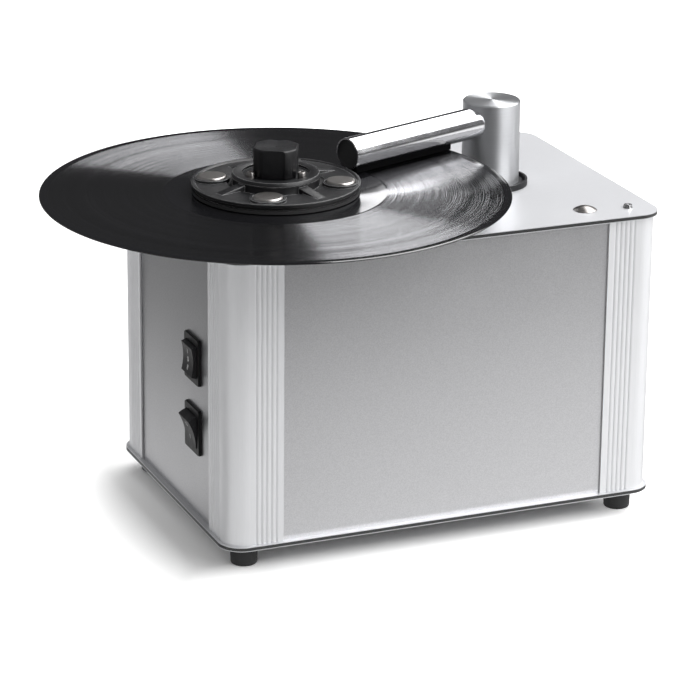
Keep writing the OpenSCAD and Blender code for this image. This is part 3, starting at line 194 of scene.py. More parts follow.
def overhead_panel(tree, direction):
    """How bright the panel over the machine is in a direction. The grooves show its straight edges as the
    clean edges of two fans."""
    x, y, z = parts_of(tree, direction)
    x = minus(tree, x, MIRRORED[0])
    y = minus(tree, y, MIRRORED[1])
    lit = 1.0
    for edge, side in PANEL_EDGES:
        along = math.radians(edge)
        across = minus(tree, times(tree, y, side * math.cos(along)), times(tree, x, side * math.sin(along)))
        lit = times(tree, times(tree, across, SHARP, clamp=True), lit)
    reach = math_node(tree, "SQRT", plus(tree, times(tree, x, x), times(tree, y, y)))
    lit = times(tree, lit, times(tree, minus(tree, reach, PANEL_CLEAR), SOFT, clamp=True))
    lit = times(tree, lit, times(tree, minus(tree, z, PANEL_LOW), SOFT, clamp=True))
    return times(tree, lit, PANEL_LEVEL)


def room_walls(tree, direction):
    """The colour of the room's walls in a direction."""
    around = tree.nodes.new("ShaderNodeTexGradient")
    around.gradient_type = "RADIAL"
    tree.links.new(direction, around.inputs["Vector"])
    walls = tree.nodes.new("ShaderNodeValToRGB")
    stops = walls.color_ramp.elements
    walls.color_ramp.interpolation = "EASE"
    for azimuth, level in ROOM:
        stop = stops.new((azimuth + 180) / 360)
        stop.color = (level, level, level * ROOM_BLUE, 1)
    for end in (stops[0], stops[len(stops) - 1]):
        end.color = (ROOM_LEFT, ROOM_LEFT, ROOM_LEFT, 1)
    tree.links.new(around.outputs["Fac"], walls.inputs[0])
    return walls.outputs[0]


def studio_air():
    """White behind the object, an even fill for the shade, and a dim room and the panel for gloss."""
    world = bpy.data.worlds.new("studio")
    bpy.context.scene.world = world
    world.use_nodes = True
    tree = world.node_tree
    tree.nodes.clear()
    path = tree.nodes.new("ShaderNodeLightPath")
    direction = tree.nodes.new("ShaderNodeTexCoord").outputs["Generated"]
    room, panel, white, fill = (tree.nodes.new("ShaderNodeBackground") for _ in range(4))
    tree.links.new(room_walls(tree, direction), room.inputs["Color"])
    tree.links.new(overhead_panel(tree, direction), panel.inputs["Strength"])
    for even, level in ((white, BACKDROP_LEVEL), (fill, FILL_LEVEL)):
        even.inputs["Color"].default_value = (1, 1, 1, 1)
        even.inputs["Strength"].default_value = level
    air = add_shaders(tree, room.outputs[0], panel.outputs[0])
    air = instead_for(tree, path.outputs["Is Diffuse Ray"], air, fill.outputs[0])
    air = instead_for(tree, path.outputs["Is Camera Ray"], air, white.outputs[0])
    output = tree.nodes.new("ShaderNodeOutputWorld")
    tree.links.new(air, output.inputs["Surface"])
    bpy.context.scene.view_settings.view_transform = "Standard"


# Node groups that several materials share
def node_group(name, inputs, outputs):
    tree = bpy.data.node_groups.new(name, "ShaderNodeTree")
    for label, kind, value in inputs:
        made = tree.interface.new_socket(label, in_out="INPUT", socket_type=kind)
        if value is not None:
            made.default_value = value
    for label, kind in outputs:
        tree.interface.new_socket(label, in_out="OUTPUT", socket_type=kind)
    return tree, tree.nodes.new("NodeGroupInput"), tree.nodes.new("NodeGroupOutput")


def make_grain_group():
    """Fine grain about 1, for colour and roughness."""
    tree, given, result = node_group(
        "fine_grain",
        [("Vector", "NodeSocketVector", None), ("Scale", "NodeSocketFloat", 900.0),
         ("Contrast", "NodeSocketFloat", 0.1)],
        [("Factor", "NodeSocketFloat"), ("Height", "NodeSocketFloat")])
    noise = tree.nodes.new("ShaderNodeTexNoise")
    noise.inputs["Detail"].default_value = 4
    noise.inputs["Roughness"].default_value = 0.6
    tree.links.new(given.outputs["Vector"], noise.inputs["Vector"])
    tree.links.new(given.outputs["Scale"], noise.inputs["Scale"])
    swing = times(tree, minus(tree, noise.outputs[0], 0.5), given.outputs["Contrast"])
    factor = plus(tree, swing, 1.0)
    tree.links.new(factor, result.inputs["Factor"])
    tree.links.new(noise.outputs[0], result.inputs["Height"])
    return tree


def make_edge_group():
    """Where an edge is, and a normal that rounds it."""
    tree, given, result = node_group(
        "rounded_edge",
        [("Radius", "NodeSocketFloat", 0.0003)],
        [("Mask", "NodeSocketFloat"), ("Normal", "NodeSocketVector")])
    bevel = tree.nodes.new("ShaderNodeBevel")
    bevel.samples = 4
    tree.links.new(given.outputs["Radius"], bevel.inputs["Radius"])
    geometry = tree.nodes.new("ShaderNodeNewGeometry")
    facing = vector_node(tree, "DOT_PRODUCT", bevel.outputs[0], geometry.outputs["Normal"]).outputs["Value"]
    mask = times(tree, minus(tree, 1.0, facing, clamp=True), 6.0, clamp=True)
    tree.links.new(mask, result.inputs["Mask"])
    tree.links.new(bevel.outputs[0], result.inputs["Normal"])
    return tree


def make_dust_group():
    """Slow clouds of handling marks and dust, from 0 to 1."""
    tree, given, result = node_group(
        "handling_marks",
        [("Vector", "NodeSocketVector", None), ("Scale", "NodeSocketFloat", 18.0)],
        [("Mask", "NodeSocketFloat")])
    noise = tree.nodes.new("ShaderNodeTexNoise")
    noise.inputs["Detail"].default_value = 6
    noise.inputs["Roughness"].default_value = 0.7
    noise.inputs["Distortion"].default_value = 0.6
    tree.links.new(given.outputs["Vector"], noise.inputs["Vector"])
    tree.links.new(given.outputs["Scale"], noise.inputs["Scale"])
    mask = times(tree, minus(tree, noise.outputs[0], 0.42), 4.0, clamp=True)
    tree.links.new(mask, result.inputs["Mask"])
    return tree


def make_rings_group():
    """Rings about a vertical axis: one random value for each radius."""
    tree, given, result = node_group(
        "turned_rings",
        [("Vector", "NodeSocketVector", None), ("Per metre", "NodeSocketFloat", 2500.0)],
        [("Radius", "NodeSocketFloat"), ("Height", "NodeSocketFloat")])
    flat = vector_node(tree, "MULTIPLY", given.outputs["Vector"], (1, 1, 0))
    radius = vector_node(tree, "LENGTH", flat.outputs[0]).outputs["Value"]
    noise = tree.nodes.new("ShaderNodeTexNoise")
    noise.noise_dimensions = "1D"
    noise.inputs["Detail"].default_value = 5
    noise.inputs["Roughness"].default_value = 0.75
    tree.links.new(radius, noise.inputs["W"])
    tree.links.new(given.outputs["Per metre"], noise.inputs["Scale"])
    tree.links.new(radius, result.inputs["Radius"])
    tree.links.new(noise.outputs[0], result.inputs["Height"])
    return tree


GRAIN = make_grain_group()
EDGE = make_edge_group()
DUST = make_dust_group()
RINGS = make_rings_group()


def place_group(material, tree, **values):
    node = material.node_tree.nodes.new("ShaderNodeGroup")
    node.node_tree = tree
    for label, value in values.items():
        node.inputs[label.replace("_", " ")].default_value = value
    return node


# Materials
RELIEF_DEPTH = 0.5 * MM
# Painted shade: how much darker the plate's and the grooves' colour is made in what other pieces mirror of
# them, for the shade under the record and the arm's tube
PLATE_MIRROR_SHADE = 0.75
RECORD_MIRROR_SHADE = 0.78


def surface(name, colour, roughness, metallic=0.0, stretch=(1, 1, 1), grain=900.0, contrast=0.12,
            relief=0.02, edge=0.0, edge_highlight_colour=None, dust=0.25, dust_scale=18.0, centre=None, **fixed):
    """A finish with grain in its colour and roughness, relief, rounded edges with a painted highlight colour
    where one is given, and handling marks.
    fixed holds values for the shader's own sockets, such as coat_weight or ior."""
    material = bpy.data.materials.new(name)
    material.use_nodes = True
    tree = material.node_tree
    shader = tree.nodes["Principled BSDF"]
    shader.inputs["Metallic"].default_value = metallic
    for label, value in fixed.items():
        shader.inputs[label.replace("_", " ").title().replace("Ior", "IOR")].default_value = value
    coords = tree.nodes.new("ShaderNodeTexCoord")
    mapping = tree.nodes.new("ShaderNodeMapping")
    mapping.inputs["Scale"].default_value = stretch
    if centre is not None:
        mapping.inputs["Location"].default_value = [-c * s for c, s in zip(centre, stretch)]
    tree.links.new(coords.outputs["Object"], mapping.inputs["Vector"])
    fine = place_group(material, GRAIN, Scale=grain, Contrast=contrast)
    tree.links.new(mapping.outputs[0], fine.inputs["Vector"])
    marks = place_group(material, DUST, Scale=dust_scale)
    tree.links.new(coords.outputs["Object"], marks.inputs["Vector"])

    base = vector_node(tree, "SCALE", colour, scale=fine.outputs["Factor"]).outputs[0]
    cloud = times(tree, marks.outputs["Mask"], dust * roughness)
    rough = plus(tree, times(tree, fine.outputs["Factor"], roughness), cloud, clamp=True)
    bump = tree.nodes.new("ShaderNodeBump")
    bump.inputs["Strength"].default_value = relief
    bump.inputs["Distance"].default_value = RELIEF_DEPTH
    tree.links.new(fine.outputs["Height"], bump.inputs["Height"])
    if edge:
        rounding = place_group(material, EDGE, Radius=edge)
        tree.links.new(rounding.outputs["Normal"], bump.inputs["Normal"])
        # Painted highlight: the edges take a lighter colour, as if they caught the light
        if edge_highlight_colour is not None:
            base = mix_colours(tree, rounding.outputs["Mask"], base, edge_highlight_colour)
    tree.links.new(base, shader.inputs["Base Color"])
    tree.links.new(rough, shader.inputs["Roughness"])
    tree.links.new(bump.outputs[0], shader.inputs["Normal"])
    material.diffuse_color = (*colour, 1)
    return material


def add_radial_tangent(material, anisotropy, rotation=0.0):
    """Makes the gloss follow circles about the piece's upright axis."""
    tree = material.node_tree
    shader = tree.nodes["Principled BSDF"]
    tangent = tree.nodes.new("ShaderNodeTangent")
    tangent.direction_type = "RADIAL"
    tangent.axis = "Z"
    tree.links.new(tangent.outputs[0], shader.inputs["Tangent"])
    shader.inputs["Anisotropic"].default_value = anisotropy
    shader.inputs["Anisotropic Rotation"].default_value = rotation
    return material


def painted_shade_in_mirrors(material, share):
    """Painted shade: what other pieces mirror of this material is darker than what the camera sees of it."""
    tree = material.node_tree
    colour = tree.nodes["Principled BSDF"].inputs["Base Color"]
    path = tree.nodes.new("ShaderNodeLightPath")
    mirror_shade = times(tree, path.outputs["Is Glossy Ray"], share)
    tree.links.new(mix_colours(tree, mirror_shade, colour.links[0].from_socket, (0, 0, 0)), colour)
    return material


PLATE_SKIN_T = 0.45 * MM
PLATE_METALLIC = 0.45
PLATE_CORE = (0.035, 0.036, 0.036)


def plate_skin(name, low, high):
    """Fine brushed metal over a dark core that shows along the plate's edge."""
    material = surface(name, (0.66, 0.665, 0.685), 0.34, PLATE_METALLIC, stretch=(0.06, 1, 1), grain=2600.0,
                       contrast=0.10, relief=0.03, dust=0.15, dust_scale=9.0)
    tree = material.node_tree
    shader = tree.nodes["Principled BSDF"]
    coords = tree.nodes.new("ShaderNodeTexCoord")
    height = parts_of(tree, coords.outputs["Object"])[2]
    above = math_node(tree, "GREATER_THAN", height, low + PLATE_SKIN_T)
    below = math_node(tree, "LESS_THAN", height, high - PLATE_SKIN_T)
    core = times(tree, above, below)
    skin = shader.inputs["Base Color"].links[0].from_socket
    tree.links.new(mix_colours(tree, core, skin, PLATE_CORE), shader.inputs["Base Color"])
    tree.links.new(times(tree, minus(tree, 1.0, core), PLATE_METALLIC), shader.inputs["Metallic"])
    return material


# The record's rings: how many to a metre, how far their normals lean and how much their roughness swings
FINE_RINGS = 2400.0
FINE_LEAN = 3.2
FINE_SWING = 0.10
BROAD_RINGS = 110.0
BROAD_LEAN = 0.5
BROAD_SWING = 0.12
SMOOTH_ROUGHNESS = 0.11
GROOVE_ROUGHNESS = 0.10
VINYL_BLACK = (0.006, 0.006, 0.007)
GROOVE_SHINE = (0.24, 0.24, 0.25)
LABEL_COLOUR = (0.09, 0.085, 0.08)
# The record's sizes in mm
LABEL_R = 50.0
RUN_OUT_R = 72.0
GROOVES_R = 145.6


def leaning_normal(tree, place, lean):
    """The surface's normal, leaned away from the spindle's axis. place is measured from that axis."""
    flat = vector_node(tree, "MULTIPLY", place, (1, 1, 0))
    outward = vector_node(tree, "NORMALIZE", flat.outputs[0])
    in_room = tree.nodes.new("ShaderNodeVectorTransform")
    in_room.vector_type = "VECTOR"
    in_room.convert_from = "OBJECT"
    in_room.convert_to = "WORLD"
    tree.links.new(outward.outputs[0], in_room.inputs[0])
    tipped = vector_node(tree, "SCALE", in_room.outputs[0], scale=lean)
    geometry = tree.nodes.new("ShaderNodeNewGeometry")
    leaning = vector_node(tree, "ADD", geometry.outputs["Normal"], tipped.outputs[0])
    return vector_node(tree, "NORMALIZE", leaning.outputs[0]).outputs[0]


def vinyl_surface():
    """Glossy black vinyl: groove rings that lean a little in and out, a smooth run-out and a matt label."""
    material = bpy.data.materials.new("grooved vinyl")
    material.use_nodes = True
    tree = material.node_tree
    shader = tree.nodes["Principled BSDF"]
    coords = tree.nodes.new("ShaderNodeTexCoord")
    mapping = tree.nodes.new("ShaderNodeMapping")
    mapping.inputs["Location"].default_value = (-spindle_at.x, -spindle_at.y, 0)
    tree.links.new(coords.outputs["Object"], mapping.inputs["Vector"])
    fine = place_group(material, RINGS, Per_metre=FINE_RINGS)
    broad = place_group(material, RINGS, Per_metre=BROAD_RINGS)
    for rings in (fine, broad):
        tree.links.new(mapping.outputs[0], rings.inputs["Vector"])
    radius = fine.outputs["Radius"]
    outer = math_node(tree, "LESS_THAN", radius, GROOVES_R * MM)
    inner = math_node(tree, "GREATER_THAN", radius, RUN_OUT_R * MM)
    grooved = times(tree, outer, inner)

    fine_step = minus(tree, fine.outputs["Height"], 0.5)
    broad_step = minus(tree, broad.outputs["Height"], 0.5)
    lean = plus(tree, times(tree, fine_step, FINE_LEAN), times(tree, broad_step, BROAD_LEAN))
    lean = times(tree, lean, grooved)
    tree.links.new(leaning_normal(tree, mapping.outputs[0], lean), shader.inputs["Normal"])
    swing = plus(tree, times(tree, broad_step, BROAD_SWING), times(tree, fine_step, FINE_SWING))
    rough = plus(tree, times(tree, grooved, GROOVE_ROUGHNESS), SMOOTH_ROUGHNESS)
    rough = plus(tree, rough, times(tree, swing, grooved), clamp=True)
    tree.links.new(rough, shader.inputs["Roughness"])

    label = math_node(tree, "LESS_THAN", radius, LABEL_R * MM)
    plain = mix_colours(tree, label, VINYL_BLACK, LABEL_COLOUR)
    # Painted shade: the grooves' colour is darker in what other pieces mirror of the record
    path = tree.nodes.new("ShaderNodeLightPath")
    unshaded_share = minus(tree, 1.0, times(tree, path.outputs["Is Glossy Ray"], RECORD_MIRROR_SHADE))
    colour = mix_colours(tree, times(tree, grooved, unshaded_share), plain, GROOVE_SHINE)
    tree.links.new(colour, shader.inputs["Base Color"])
    tree.links.new(grooved, shader.inputs["Metallic"])
    shader.inputs["IOR"].default_value = 1.8
    shader.inputs["Coat Weight"].default_value = 0.15
    shader.inputs["Coat Roughness"].default_value = 0.06
    material.diffuse_color = (0.01, 0.01, 0.011, 1)
    return add_radial_tangent(material, 1.0, 0.25)


materials = {
    # The top plate carries painted shade in what other pieces mirror of it
    "top_plate": painted_shade_in_mirrors(plate_skin("brushed top plate", top_low.z, top_high.z), PLATE_MIRROR_SHADE),
    "bottom_plate": plate_skin("brushed bottom plate", bottom_low.z, bottom_high.z),
    # The profile's lighter edge colour is a painted highlight
    "profile": surface("satin anodised profile", (0.81, 0.815, 0.83), 0.36, 0.42, stretch=(1, 1, 0.03),
                       grain=1800.0, contrast=0.10, relief=0.03, edge=0.25 * MM,
                       edge_highlight_colour=(0.86, 0.86, 0.87), dust=0.2),
    "panel": surface("satin panel", (0.73, 0.73, 0.745), 0.34, 1.0, grain=1500.0, contrast=0.5, relief=0.10,
                     dust=0.12, dust_scale=7.0),
    "rubber": surface("matt rubber", (0.018, 0.018, 0.019), 0.55, grain=1400.0, contrast=0.35, relief=0.12,
                      edge=0.2 * MM, dust=0.3, dust_scale=60.0),
    "screw": surface("zinc screw", (0.74, 0.74, 0.75), 0.20, 1.0, grain=1200.0, contrast=0.2, relief=0.02,
                     edge=0.15 * MM, dust=0.4, dust_scale=220.0),
    "sheet": surface("zinc sheet", (0.62, 0.64, 0.67), 0.38, 1.0, grain=120.0, contrast=0.3, relief=0.02,
                     edge=0.2 * MM, dust=0.4),
    # The can's lighter edge colour is a painted highlight
    "motor_can": surface("dull steel can", (0.36, 0.36, 0.37), 0.42, 1.0, stretch=(1, 1, 0.1), grain=700.0,
                         contrast=0.3, relief=0.04, edge=0.3 * MM, edge_highlight_colour=(0.6, 0.6, 0.6)),
    "ground_steel": surface("ground steel", (0.68, 0.68, 0.69), 0.22, 1.0, stretch=(0.05, 0.05, 1),
                            grain=2600.0, contrast=0.2, relief=0.03, edge=0.2 * MM),
    "brass": surface("turned brass", (0.76, 0.58, 0.28), 0.26, 1.0, stretch=(0.1, 0.1, 1), grain=1800.0,
                     contrast=0.2, relief=0.03, edge=0.2 * MM),
    "bronze": surface("sintered bronze", (0.52, 0.34, 0.19), 0.45, 1.0, grain=2200.0, contrast=0.4,
                      relief=0.1, edge=0.2 * MM),
    "nylon": surface("natural nylon", (0.80, 0.78, 0.71), 0.42, grain=700.0, contrast=0.08, relief=0.02,
                     edge=0.25 * MM, subsurface_weight=0.15),
    "alloy": surface("machined alloy", (0.62, 0.63, 0.65), 0.34, 1.0, stretch=(0.1, 0.1, 1), grain=1400.0,
                     contrast=0.2, relief=0.03, edge=0.3 * MM),
    "vinyl": vinyl_surface(),
    # The black moulding's light grey edge colour is a painted highlight along its chamfers
    "clamp": surface("satin black moulding", (0.006, 0.006, 0.007), 0.40, grain=1500.0, contrast=0.45,
                     relief=0.09, edge=0.40 * MM, edge_highlight_colour=(0.55, 0.55, 0.56), dust=0.35, dust_scale=70.0),
    "knob": surface("gloss black moulding", (0.003, 0.003, 0.004), 0.34, grain=1200.0, contrast=0.2,
                    relief=0.02, dust=0.5, dust_scale=90.0),
    "chrome": surface("chrome plate", (0.45, 0.43, 0.415), 0.30, 1.0, grain=1600.0, contrast=0.05,
                      relief=0.004, dust=0.2, dust_scale=120.0),
    "turned": add_radial_tangent(
        surface("turned alloy", (0.71, 0.72, 0.74), 0.34, 0.9, stretch=(0.02, 0.02, 1), grain=3200.0,
                contrast=0.16, relief=0.05, centre=column_at), 0.8, 0.25),
    "tube": surface("polished tube", (0.86, 0.86, 0.88), 0.11, 1.0, grain=500.0, contrast=0.2, relief=0.006,
                    dust=0.6, dust_scale=60.0),
    "velvet": surface("velvet pile", (0.003, 0.003, 0.0035), 0.95, grain=3000.0, contrast=0.8, relief=0.5,
                      specular_ior_level=0.05),
    "black_plastic": surface("satin black plastic", (0.018, 0.018, 0.020), 0.30, grain=1300.0, contrast=0.3,
                             relief=0.05, edge=0.2 * MM, dust=0.4, dust_scale=80.0),
    "bezel": surface("moulded bezel", (0.010, 0.010, 0.011), 0.34, grain=1500.0, contrast=0.3, relief=0.04,
                     dust=0.4, dust_scale=90.0),
    "rocker": surface("moulded rocker", (0.016, 0.016, 0.018), 0.36, grain=1500.0, contrast=0.3, relief=0.04,
                      dust=0.4, dust_scale=90.0),
    "mark": surface("printed mark", (0.62, 0.62, 0.62), 0.5, grain=900.0, contrast=0.1, relief=0.02),
    "tank": surface("natural polyethylene", (0.78, 0.78, 0.74), 0.45, grain=300.0, contrast=0.06, relief=0.03,
                    edge=0.6 * MM, subsurface_weight=0.2),
    "hose": surface("soft hose", (0.045, 0.045, 0.048), 0.5, grain=900.0, contrast=0.3, relief=0.06),
    "blower": surface("dark grey moulding", (0.10, 0.10, 0.11), 0.4, grain=1000.0, contrast=0.25, relief=0.06,
                      edge=0.5 * MM),
    "board": surface("green laminate", (0.02, 0.12, 0.05), 0.35, grain=500.0, contrast=0.4, relief=0.03,
                     edge=0.2 * MM, coat_weight=0.3),
    "core": surface("laminated core", (0.30, 0.30, 0.31), 0.45, 1.0, stretch=(1, 0.02, 0.02), grain=2200.0,
                    contrast=0.6, relief=0.12, edge=0.3 * MM),
    "wire": surface("sheathed lead", (0.035, 0.035, 0.038), 0.38, grain=700.0, contrast=0.25, relief=0.03),
}


def dress(material, *names):
    """Gives CAD nodes a material."""
    for name in names:
        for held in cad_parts[name].material_slots:
            held.material = materials[material]


dress("profile", "corner_front_left", "corner_front_right", "corner_rear_left", "corner_rear_right")
dress("panel", "front_panel", "rear_panel", "right_panel", "switch_panel")
dress("top_plate", "top_plate")
dress("bottom_plate", "bottom_plate")
dress("rubber", "feet", "platter_mat", "clamp_seal", "tube_plug", "blower_mount")
dress("screw", "foot_screws", "top_screws", "drive_screws", "platter_grub", "arm_spring")
dress("sheet", "drive_bracket")
dress("motor_can", "drive_motor", "blower_motor")
dress("core", "transformer")
dress("brass", "motor_pinion", "clamp_nut")
dress("nylon", "drive_gear", "spring_seat")
dress("ground_steel", "spindle")
dress("alloy", "bearing_housing", "platter", "fan_wheel")
dress("bronze", "spindle_bushes")
dress("vinyl", "record_disc")
dress("clamp", "clamp_disc")
dress("chrome", "clamp_caps", "clamp_screws", "tank_plug")
dress("knob", "clamp_knob")
dress("turned", "arm_column")
dress("tube", "arm_tube")
dress("velvet", "velvet_strips")
dress("black_plastic", "arm_collar", "arm_bush", "collar_nut", "exhaust_grille", "mains_inlet",
      "fuse_drawer")
dress("tank", "tank_body", "tank_lid", "tank_baffle")
dress("hose", "inlet_hose", "suction_hose")
dress("blower", "blower_housing")
dress("board", "power_board")
dress("bezel", "motor_switch", "vacuum_switch")
dress("rocker", "motor_rocker", "vacuum_rocker")
dress("wire", "wiring")

aim_camera()

# Modelling, as by hand: a primitive, then edit mode. Corners that are nearer than this are merged.
SAME_PLACE = 0.004 * MM


def put_down(active=None):
    """Nothing is selected but the piece in hand."""
    if bpy.context.mode != "OBJECT":
        bpy.ops.object.mode_set(mode="OBJECT")
    bpy.ops.object.select_all(action="DESELECT")
    if active is not None:
        active.select_set(True)
        bpy.context.view_layer.objects.active = active


def close_up(piece, smooth=35):
    """Merges doubles, turns the faces outwards, smooths the rounds and puts the origin at zero."""
    put_down(piece)
    bpy.ops.object.mode_set(mode="EDIT")
    bpy.ops.mesh.select_all(action="SELECT")
    bpy.ops.mesh.remove_doubles(threshold=SAME_PLACE)
    bpy.ops.mesh.normals_make_consistent(inside=False)
    bpy.ops.object.mode_set(mode="OBJECT")
    bpy.ops.object.transform_apply(location=True, rotation=True, scale=True)
    bpy.ops.object.shade_smooth_by_angle(angle=math.radians(smooth))
    return piece


def turn(name, centre, outline, segments=128, bored=False, smooth=35):
    """Turns an outline of (radius, height) in mm about an upright axis. A bored one ends where it began."""
    put_down()
    radius, height = outline[0]
    x, y, base = centre
    bpy.ops.mesh.primitive_circle_add(vertices=segments, radius=radius * MM,
                                      fill_type="NOTHING" if bored else "NGON",
                                      location=(x, y, base + height * MM))
    piece = bpy.context.object
    piece.name = name
    bpy.ops.object.mode_set(mode="EDIT")
    for next_radius, next_height in outline[1:]:
        rise = (0, 0, (next_height - height) * MM)
        bpy.ops.mesh.extrude_region_move(TRANSFORM_OT_translate={"value": rise})
        if next_radius != radius:
            grow = next_radius / radius
            bpy.ops.transform.resize(value=(grow, grow, 1), center_override=(x, y, base + next_height * MM))
        radius, height = next_radius, next_height
    return close_up(piece, smooth)


def block(name, low, high, round_r=0.0, axis=None, segments=3):
    """A cuboid between two corners in metres, its edges along one axis, or all of them, rounded."""
    put_down()
    low, high = Vector(low), Vector(high)
    bpy.ops.mesh.primitive_cube_add(size=1, location=(low + high) / 2, scale=high - low)
    piece = bpy.context.object
    piece.name = name
    bpy.ops.object.transform_apply(location=True, rotation=True, scale=True)
    if round_r:
        chosen = []
        for edge in piece.data.edges:
            a, b = (piece.data.vertices[i].co for i in edge.vertices)
            chosen.append(axis is None or abs((b - a)[axis]) > 1e-6)
        bpy.ops.object.mode_set(mode="EDIT")
        bpy.ops.mesh.select_mode(type="EDGE")
        bpy.ops.mesh.select_all(action="DESELECT")
        bpy.ops.object.mode_set(mode="OBJECT")
        for edge, wanted in zip(piece.data.edges, chosen):
            edge.select = wanted
        bpy.ops.object.mode_set(mode="EDIT")
        bpy.ops.mesh.bevel(offset=round_r, segments=segments)
        bpy.ops.object.mode_set(mode="OBJECT")
    return piece


def cut_or_join(piece, tools, operation):
    """Cuts tools out of the piece, or joins them to it, and removes them."""
    for tool in tools:
        put_down(piece)
        made = piece.modifiers.new("shaping", "BOOLEAN")
        made.operation = operation
        made.solver = "EXACT"
        made.object = tool
        bpy.ops.object.modifier_apply(modifier=made.name)
        put_down(tool)
        bpy.ops.object.delete()
    return piece


def soften(piece, width, segments=2, angle=30):
    """Breaks the sharp edges."""
    put_down(piece)
    made = piece.modifiers.new("broken edges", "BEVEL")
    made.width = width
    made.segments = segments
    made.limit_method = "ANGLE"
    made.angle_limit = math.radians(angle)
    made.use_clamp_overlap = True
    bpy.ops.object.modifier_apply(modifier=made.name)
    return piece


def swing(piece, centre, angle):
    """Turns a piece at the origin about an upright axis through centre, in its mesh."""
    put_down(piece)
    there = Matrix.Translation(centre)
    piece.matrix_world = there @ Matrix.Rotation(angle, 4, "Z") @ there.inverted()
    bpy.ops.object.transform_apply(location=True, rotation=True, scale=True)
    return piece


def swing_copies(piece, centre, count, step):
    """Copies a piece round an upright axis, each copy with its own mesh."""
    copies = []
    for turn_no in range(1, count):
        put_down(piece)
        bpy.ops.object.duplicate(linked=False)
        copies.append(swing(bpy.context.object, centre, step * turn_no))
    return copies


def join(piece, others):
    put_down(piece)
    for other in others:
        other.select_set(True)
    bpy.ops.object.join()
    return piece


def fit(piece, material, body, slot_name, *nodes):
    """Gives a finished piece its material and body, and hides the nodes that it stands for. The slot name is
    not used.
    """
    piece.data.materials.clear()
    piece.data.materials.append(materials[material])
    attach(piece, body)
    if nodes:
        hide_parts(*nodes)
    return piece


# Record, in mm
HOLE_R = 4.05
RIM_R = 151
RECORD_T = 1.6
LABEL_RAISE = 0.3
BEAD_LOW = 0.15
RING_W = 1.8
RING_RAISE = 0.06


def record_outline():
    """The record's section: a raised label, a round bead at the rim and a low ring at the run-out."""
    under = [(HOLE_R, 0), (LABEL_R, 0), (LABEL_R + 2, LABEL_RAISE), (RIM_R - 4.7, LABEL_RAISE),
             (RIM_R - 2.7, BEAD_LOW + 0.01), (RIM_R - 0.8, BEAD_LOW), (RIM_R - 0.3, 2 * BEAD_LOW),
             (RIM_R - 0.05, 4 * BEAD_LOW)]
    top = [(radius, RECORD_T - height) for radius, height in reversed(under)]
    plain = RECORD_T - LABEL_RAISE
    raised = plain + RING_RAISE
    ring = [(RUN_OUT_R + 0.4, plain), (RUN_OUT_R, raised), (RUN_OUT_R - RING_W, raised),
            (RUN_OUT_R - RING_W - 0.4, plain)]
    label = top.index((LABEL_R + 2, plain))
    return under + [(RIM_R, RECORD_T / 2)] + top[:label] + ring + top[label:] + under[:1]


record_base = (spindle_at.x, spindle_at.y, record_low.z)
record = turn("record", record_base, record_outline(), segments=360, bored=True, smooth=25)
fit(record, "vinyl", "platter", "vinyl", "record_disc")

# Clamp, in mm from the spindle's axis and above the record
CLAMP_R = 54.3
CLAMP_FOOT = 2.3
LIP_LOW = 4.6
LIP_TOP = 6.8
WEB_TOP = 6.0
MOAT_R = 31.6
MOAT_FLOOR = 5.0
HUB_R = 28
HUB_LIP = 10.0
HUB_TOP = 12.8
RECESS_R = 21.9
RECESS_FLOOR = 11.0
BORE_R = 7.4
CUTTER_TOP = 12.0
CAP_CIRCLE_R = 41.4
CAP_ANGLE = math.radians(-28)
CAP_R = 9.6
CAP_TOP = 8.9
BOSS_R = 11.7
BOSS_TOP = 7.8
POCKET_R = 10.0
POCKET_FLOOR = 5.6
RIB_IN = 27
RIB_OUT = 46
RIB_W = 7
RIB_LOW = 4.5
RIB_TOP = 9.3
RIB_FALL = 3.1
POST_CIRCLE_R = 18.7
POST_ANGLE = math.radians(-51)
POST_R = 2.6
POST_TOP = 15.2
SHANK_R = 1.15
SHANK_FOOT = 6.5
POST_HOLE_R = 1.2
POST_HOLE_FLOOR = 6.0
DRIVE_R = 1.4
KNOB_R = 15.5
KNOB_LOW = 11.3
KNOB_TOP = 29.75
NUT_R = 7.0
NUT_TOP = 24.3
HOLLOW_R = 45.5
HOLLOW_DEEP_R = 13.1
HOLLOW_LOW = 9.0
HOLLOW_TOP = 33.0
# The turned outlines end this near to the axis, because a circle can't be shrunk to nothing and closed
NEAR_AXIS = 0.4
clamp_base = (spindle_at.x, spindle_at.y, record_top)
QUARTER = math.pi / 2


def at_clamp(radius, angle):
    """A place on the record's top, at a radius in mm about the spindle."""
    return (spindle_at.x + radius * MM * math.cos(angle), spindle_at.y + radius * MM * math.sin(angle),
            record_top)


